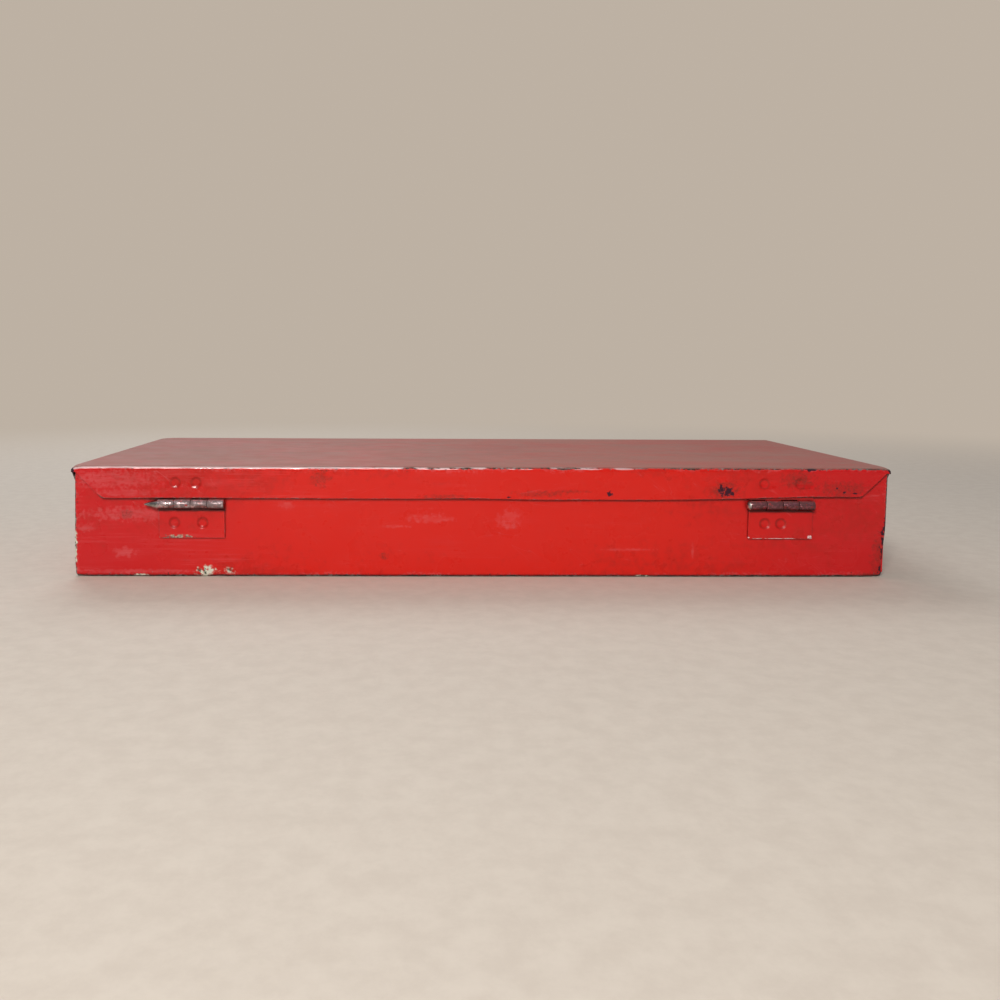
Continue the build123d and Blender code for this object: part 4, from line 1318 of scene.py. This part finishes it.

# %% [markdown]
# ## The whole enamel
# Now the layers go on in the order of the case's life: fresh paint, rubs and scratches, thin and worn
# edges, painted shade in narrow corners, the bare steel that browned, the marks, wear and painted
# light of one piece, and last the dust. One function paints everything, because it is all the same
# paint; only how much it has worn differs between the outside, the inside and the hinges.


# %% Layer the enamel
def enamel(name, gaps, widths, specks, chips, rubs, dust, welds=(), weld_bump=0, hinge=None, back=False):
    """Red enamel: gaps finds folds and cuts, hinge adds one hinge's wear and painted light, and back the back's
    marks and painted light.
    """
    bare_tone, bare_rough = BARREL_STEEL[hinge] if hinge else (BARE_STEEL, 0.1)
    material, tree, place = new_finish(name)
    colour = toned_paint(tree, place)

    marks = use(tree, hairlines, {"Vector": place})
    more_right = fade(tree, parts(tree, place)[0], 0.06, 0.16, 0.25 * rubs, 0.8 * rubs)
    rubbed = times(tree, marks["Rub"], more_right)
    scratch = times(tree, marks["Scratch"], 0.3 * rubs)
    colour = blend(tree, times(tree, rubbed, 0.35), colour, RUBBED_PINK)
    colour = blend(tree, scratch, colour, RUBBED_PINK)

    fold_gap, cut_gap = gaps(tree)
    at_fold = {"Vector": place, "Gap": fold_gap, "Width": widths[0], "Specks": specks}
    at_cut = {"Vector": place, "Gap": cut_gap, "Width": widths[1], "Specks": specks - 0.3}
    at_fold, at_cut = use(tree, worn_edge, at_fold), use(tree, worn_edge, at_cut)
    strewn = use(tree, paint_chips, {"Vector": place, "Scale": 150.0, "Amount": chips})
    thin = most(tree, at_fold["Thin"], at_cut["Thin"])
    worn = most(tree, at_fold["Worn"], at_cut["Worn"])
    worn = most(tree, worn, strewn["Chip"])
    if hinge:
        worn = most(tree, worn, worn_barrel(tree, place, hinge))
    colour = blend(tree, times(tree, thin, 0.35), colour, RUBBED_PINK)
    pressed = 0.0
    for weld in welds:
        mark = {"Vector": place, "Place": weld, "Radius": WELD_RADIUS}
        pressed = most(tree, use(tree, pressed_weld, mark)["Pressed"], pressed)
    # A darker ring on each weld dimple's wall: partly dirt in the dimple, partly painted shade on its wall.
    wall = times(tree, pressed, minus(tree, 1.0, pressed))
    colour = blend(tree, times(tree, wall, 1.3), colour, STAIN)
    # Painted shade: narrow corners are darkened where the Ambient Occlusion node finds them closed in.
    crevice_shade = use(tree, painted_crevice_shade, {"Vector": place, "Reach": 3.6 * MM})["Shade"]
    colour = blend(tree, times(tree, crevice_shade, 0.92), colour, PAINTED_SHADE)
    colour = blend(tree, times(tree, strewn["Halo"], 0.4), colour, PRIMER)
    rust = fade(tree, cloud(tree, place, 330.0, detail=5.0, roughness=0.7), 0.34, 0.52)
    if hinge:
        rust = times(tree, fade(tree, rust, 0.55, 1.0), 0.7)
    colour = blend(tree, worn, colour, blend(tree, rust, bare_tone, BROWNED_STEEL))
    metal = times(tree, worn, fade(tree, rust, 0.0, 1.0, 0.9, 0.15))
    chipped = worn
    if hinge:
        colour = leaf_wear_and_painted_light(tree, place, colour, hinge)
    if back:
        # The back bend's pale line is partly polished wear and partly painted highlight, and its shoulder is
        # painted shade.
        shoulder_shade = painted_shoulder_shade(tree, place, fold_gap)
        pale = pale_crown_and_highlight(tree, place, fold_gap)
        colour = blend(tree, times(tree, pale, 0.85), colour, PALE_LINE)
        metal = most(tree, metal, times(tree, pale, 0.35))
        marked, colour = placed_marks(tree, place, colour)
        chipped = most(tree, worn, marked)
    lying = use(tree, settled_dust, {"Vector": place, "Amount": dust})["Dust"]
    colour = blend(tree, lying, colour, DUST)
    if back:
        # Painted shade along the shoulder of the back bend.
        colour = blend(tree, times(tree, shoulder_shade, 0.7), colour, STAIN)

    masks = {"chipped": chipped, "worn": worn, "rust": rust, "metal": metal, "rubbed": rubbed}
    masks |= {"scratched": marks["Scratch"], "pressed": pressed, "lying": lying}
    surface = enamel_surface(tree, place, masks, colour, bare_rough, weld_bump)
    node(tree, "ShaderNodeOutputMaterial", {"Surface": surface})
    return material


print("one enamel for the pans, the tabs and the hinges")

# %% [markdown]
# ## Outside, inside and tabs
# Outside, the folds are worn wide and the cut edges only narrowly, and dust is thick. Inside, tools
# have rubbed and chipped the floor, and the closed lid has kept most of the dust out. The inside of
# each pan is its second material slot, which Solidify fills.

# %% Paint the pans
outside = {"widths": (0.60 * MM, 0.16 * MM), "specks": 0.8, "chips": 0.05, "rubs": 0.8, "dust": 0.82}
inside = {"widths": (0.6 * MM, 0.5 * MM), "specks": 0.4, "chips": 0.12, "rubs": 1.0, "dust": 0.4}
case_enamel = enamel("case_enamel", sheet_gaps, **outside, welds=lid_welds, back=True)
inside_enamel = enamel("inside_enamel", sheet_gaps, **inside)
tab_enamel = enamel("tab_enamel", fitting_gaps, **inside)
for shell in (lid_shell, base_shell):
    shell.data.materials.append(case_enamel)
    shell.data.materials.append(inside_enamel)
corner_tabs.data.materials.append(tab_enamel)
print("enamel on", lid_shell.name, "and", base_shell.name)

# %% [markdown]
# ## The hinges
# The same enamel again, with each hinge's wear and painted light. The leaves keep the frame's meshes,
# so their edges are found by the Bevel node, and the two round spot welds on each are sunk further by a bump.

# %% Paint the leaves
for side in SIDES:
    finish = enamel(
        f"{side}_hinge_enamel",
        fitting_gaps,
        widths=(0.30 * MM, 0.25 * MM),
        specks=0.3,
        chips=0.05,
        rubs=0.5,
        dust=0.2,
        welds=leaf_welds[side],
        weld_bump=0.45,
        hinge=side,
    )
    for leaf in ("lower", "upper"):
        frame["nodes"][f"{side}_hinge_{leaf}_leaf"].data.materials.clear()
        frame["nodes"][f"{side}_hinge_{leaf}_leaf"].data.materials.append(finish)
    print(f"{side} hinge painted")

# %% [markdown]
# ## Bare and plated steel
# The front fittings are pressed steel with a dull zinc plate. Zinc isn't one grey: it has a faint
# cloudy pattern, gathers a yellow-brown tarnish in patches, and turns bright where it is rubbed.
# The same function makes the rivets and the bare hinge pins, with other colours and more tarnish.


# %% Build the steels
def steel_finish(name, bright, dull, tarnish, tarnish_share, rough_low, rough_high, width=0.4 * MM):
    """Metal with cloudy tone, tarnish in patches, hairlines and brighter edges."""
    material, tree, place = new_finish(name)
    cloudy = cloud(tree, place, 230.0, detail=5.0, roughness=0.6)
    colour = blend(tree, fade(tree, cloudy, 0.32, 0.68), dull, bright)
    patch = cloud(tree, place, 85.0, detail=4.0, roughness=0.65)
    stained = fade(tree, patch, 0.72 - 0.4 * tarnish_share, 0.86 - 0.4 * tarnish_share)
    colour = blend(tree, stained, colour, tarnish)
    gap = use(tree, edge_finder, {"Radius": 0.3 * MM})["Gap"]
    rubbed = use(tree, worn_edge, {"Vector": place, "Gap": gap, "Width": width, "Specks": 0.0})["Worn"]
    marks = use(tree, hairlines, {"Vector": place})
    shiny = most(tree, rubbed, times(tree, marks["Scratch"], 0.8))
    colour = blend(tree, times(tree, shiny, 0.6), colour, bright)
    rough = fade(tree, cloudy, 0.3, 0.7, rough_low, rough_high)
    rough = plus(tree, rough, times(tree, stained, 0.25))
    rough = minus(tree, rough, times(tree, shiny, 0.1), clamp=True)
    metal = fade(tree, stained, 0.0, 1.0, 1.0, 0.55)
    grain = cloud(tree, place, 2200.0, detail=2.0)
    height = times(tree, grain, 0.004)
    height = plus(tree, height, times(tree, stained, 0.02))
    height = minus(tree, height, times(tree, marks["Scratch"], 0.01))
    bump = node(tree, "ShaderNodeBump", {"Height": height, "Distance": MM, "Strength": 1.0})
    inputs = {"Base Color": colour, "Metallic": metal, "Roughness": rough, "Normal": bump.outputs[0]}
    surface = node(tree, "ShaderNodeBsdfPrincipled", inputs)
    node(tree, "ShaderNodeOutputMaterial", {"Surface": surface.outputs[0]})
    return material


ZINC_BRIGHT, ZINC_DULL = (0.66, 0.65, 0.61, 1), (0.42, 0.42, 0.40, 1)
STEEL_BRIGHT, STEEL_DULL = (0.55, 0.52, 0.49, 1), (0.24, 0.22, 0.20, 1)
TARNISH = (0.17, 0.12, 0.07, 1)
zinc_plate = steel_finish("zinc_plate", ZINC_BRIGHT, ZINC_DULL, TARNISH, 0.25, 0.26, 0.42)
rivet_steel = steel_finish("rivet_steel", ZINC_BRIGHT, ZINC_DULL, TARNISH, 0.45, 0.24, 0.40)
pin_steel = steel_finish("pin_steel", STEEL_BRIGHT, STEEL_DULL, TARNISH, 0.35, 0.18, 0.34)
print("steels:", zinc_plate.name, rivet_steel.name, pin_steel.name)

# %% [markdown]
# ## Hand the finishes out
# The record lists each node's material slot, so the plated pieces needn't be named one by one. Pressed
# steel has no sharp edge, and a rounded one catches the light. So the latch plates and levers, the
# handle saddles and the hinge leaves get a Weld and a Bevel modifier, which round their edges without
# touching the mesh that the frame fixed.

# %% Finish the fittings
FINISHES = {"plated_steel": zinc_plate, "rivet_steel": rivet_steel, "pin_steel": pin_steel}
EDGE_ROUND = {"latch_plate": 0.15, "latch_lever": 0.22, "saddle": 0.2, "leaf": 0.16}

for part in frame["record"]["subparts"]:
    fitting = frame["nodes"][part["node"]]
    if part["material_slot"] in FINISHES:
        fitting.data.materials.clear()
        fitting.data.materials.append(FINISHES[part["material_slot"]])
    width = next((w for word, w in EDGE_ROUND.items() if word in part["node"]), None)
    if width is None:
        continue
    weld = fitting.modifiers.new("joined_faces", "WELD")
    weld.merge_threshold = 0.001 * MM
    break_edges(fitting, "rounded_edge", width * MM, 40)
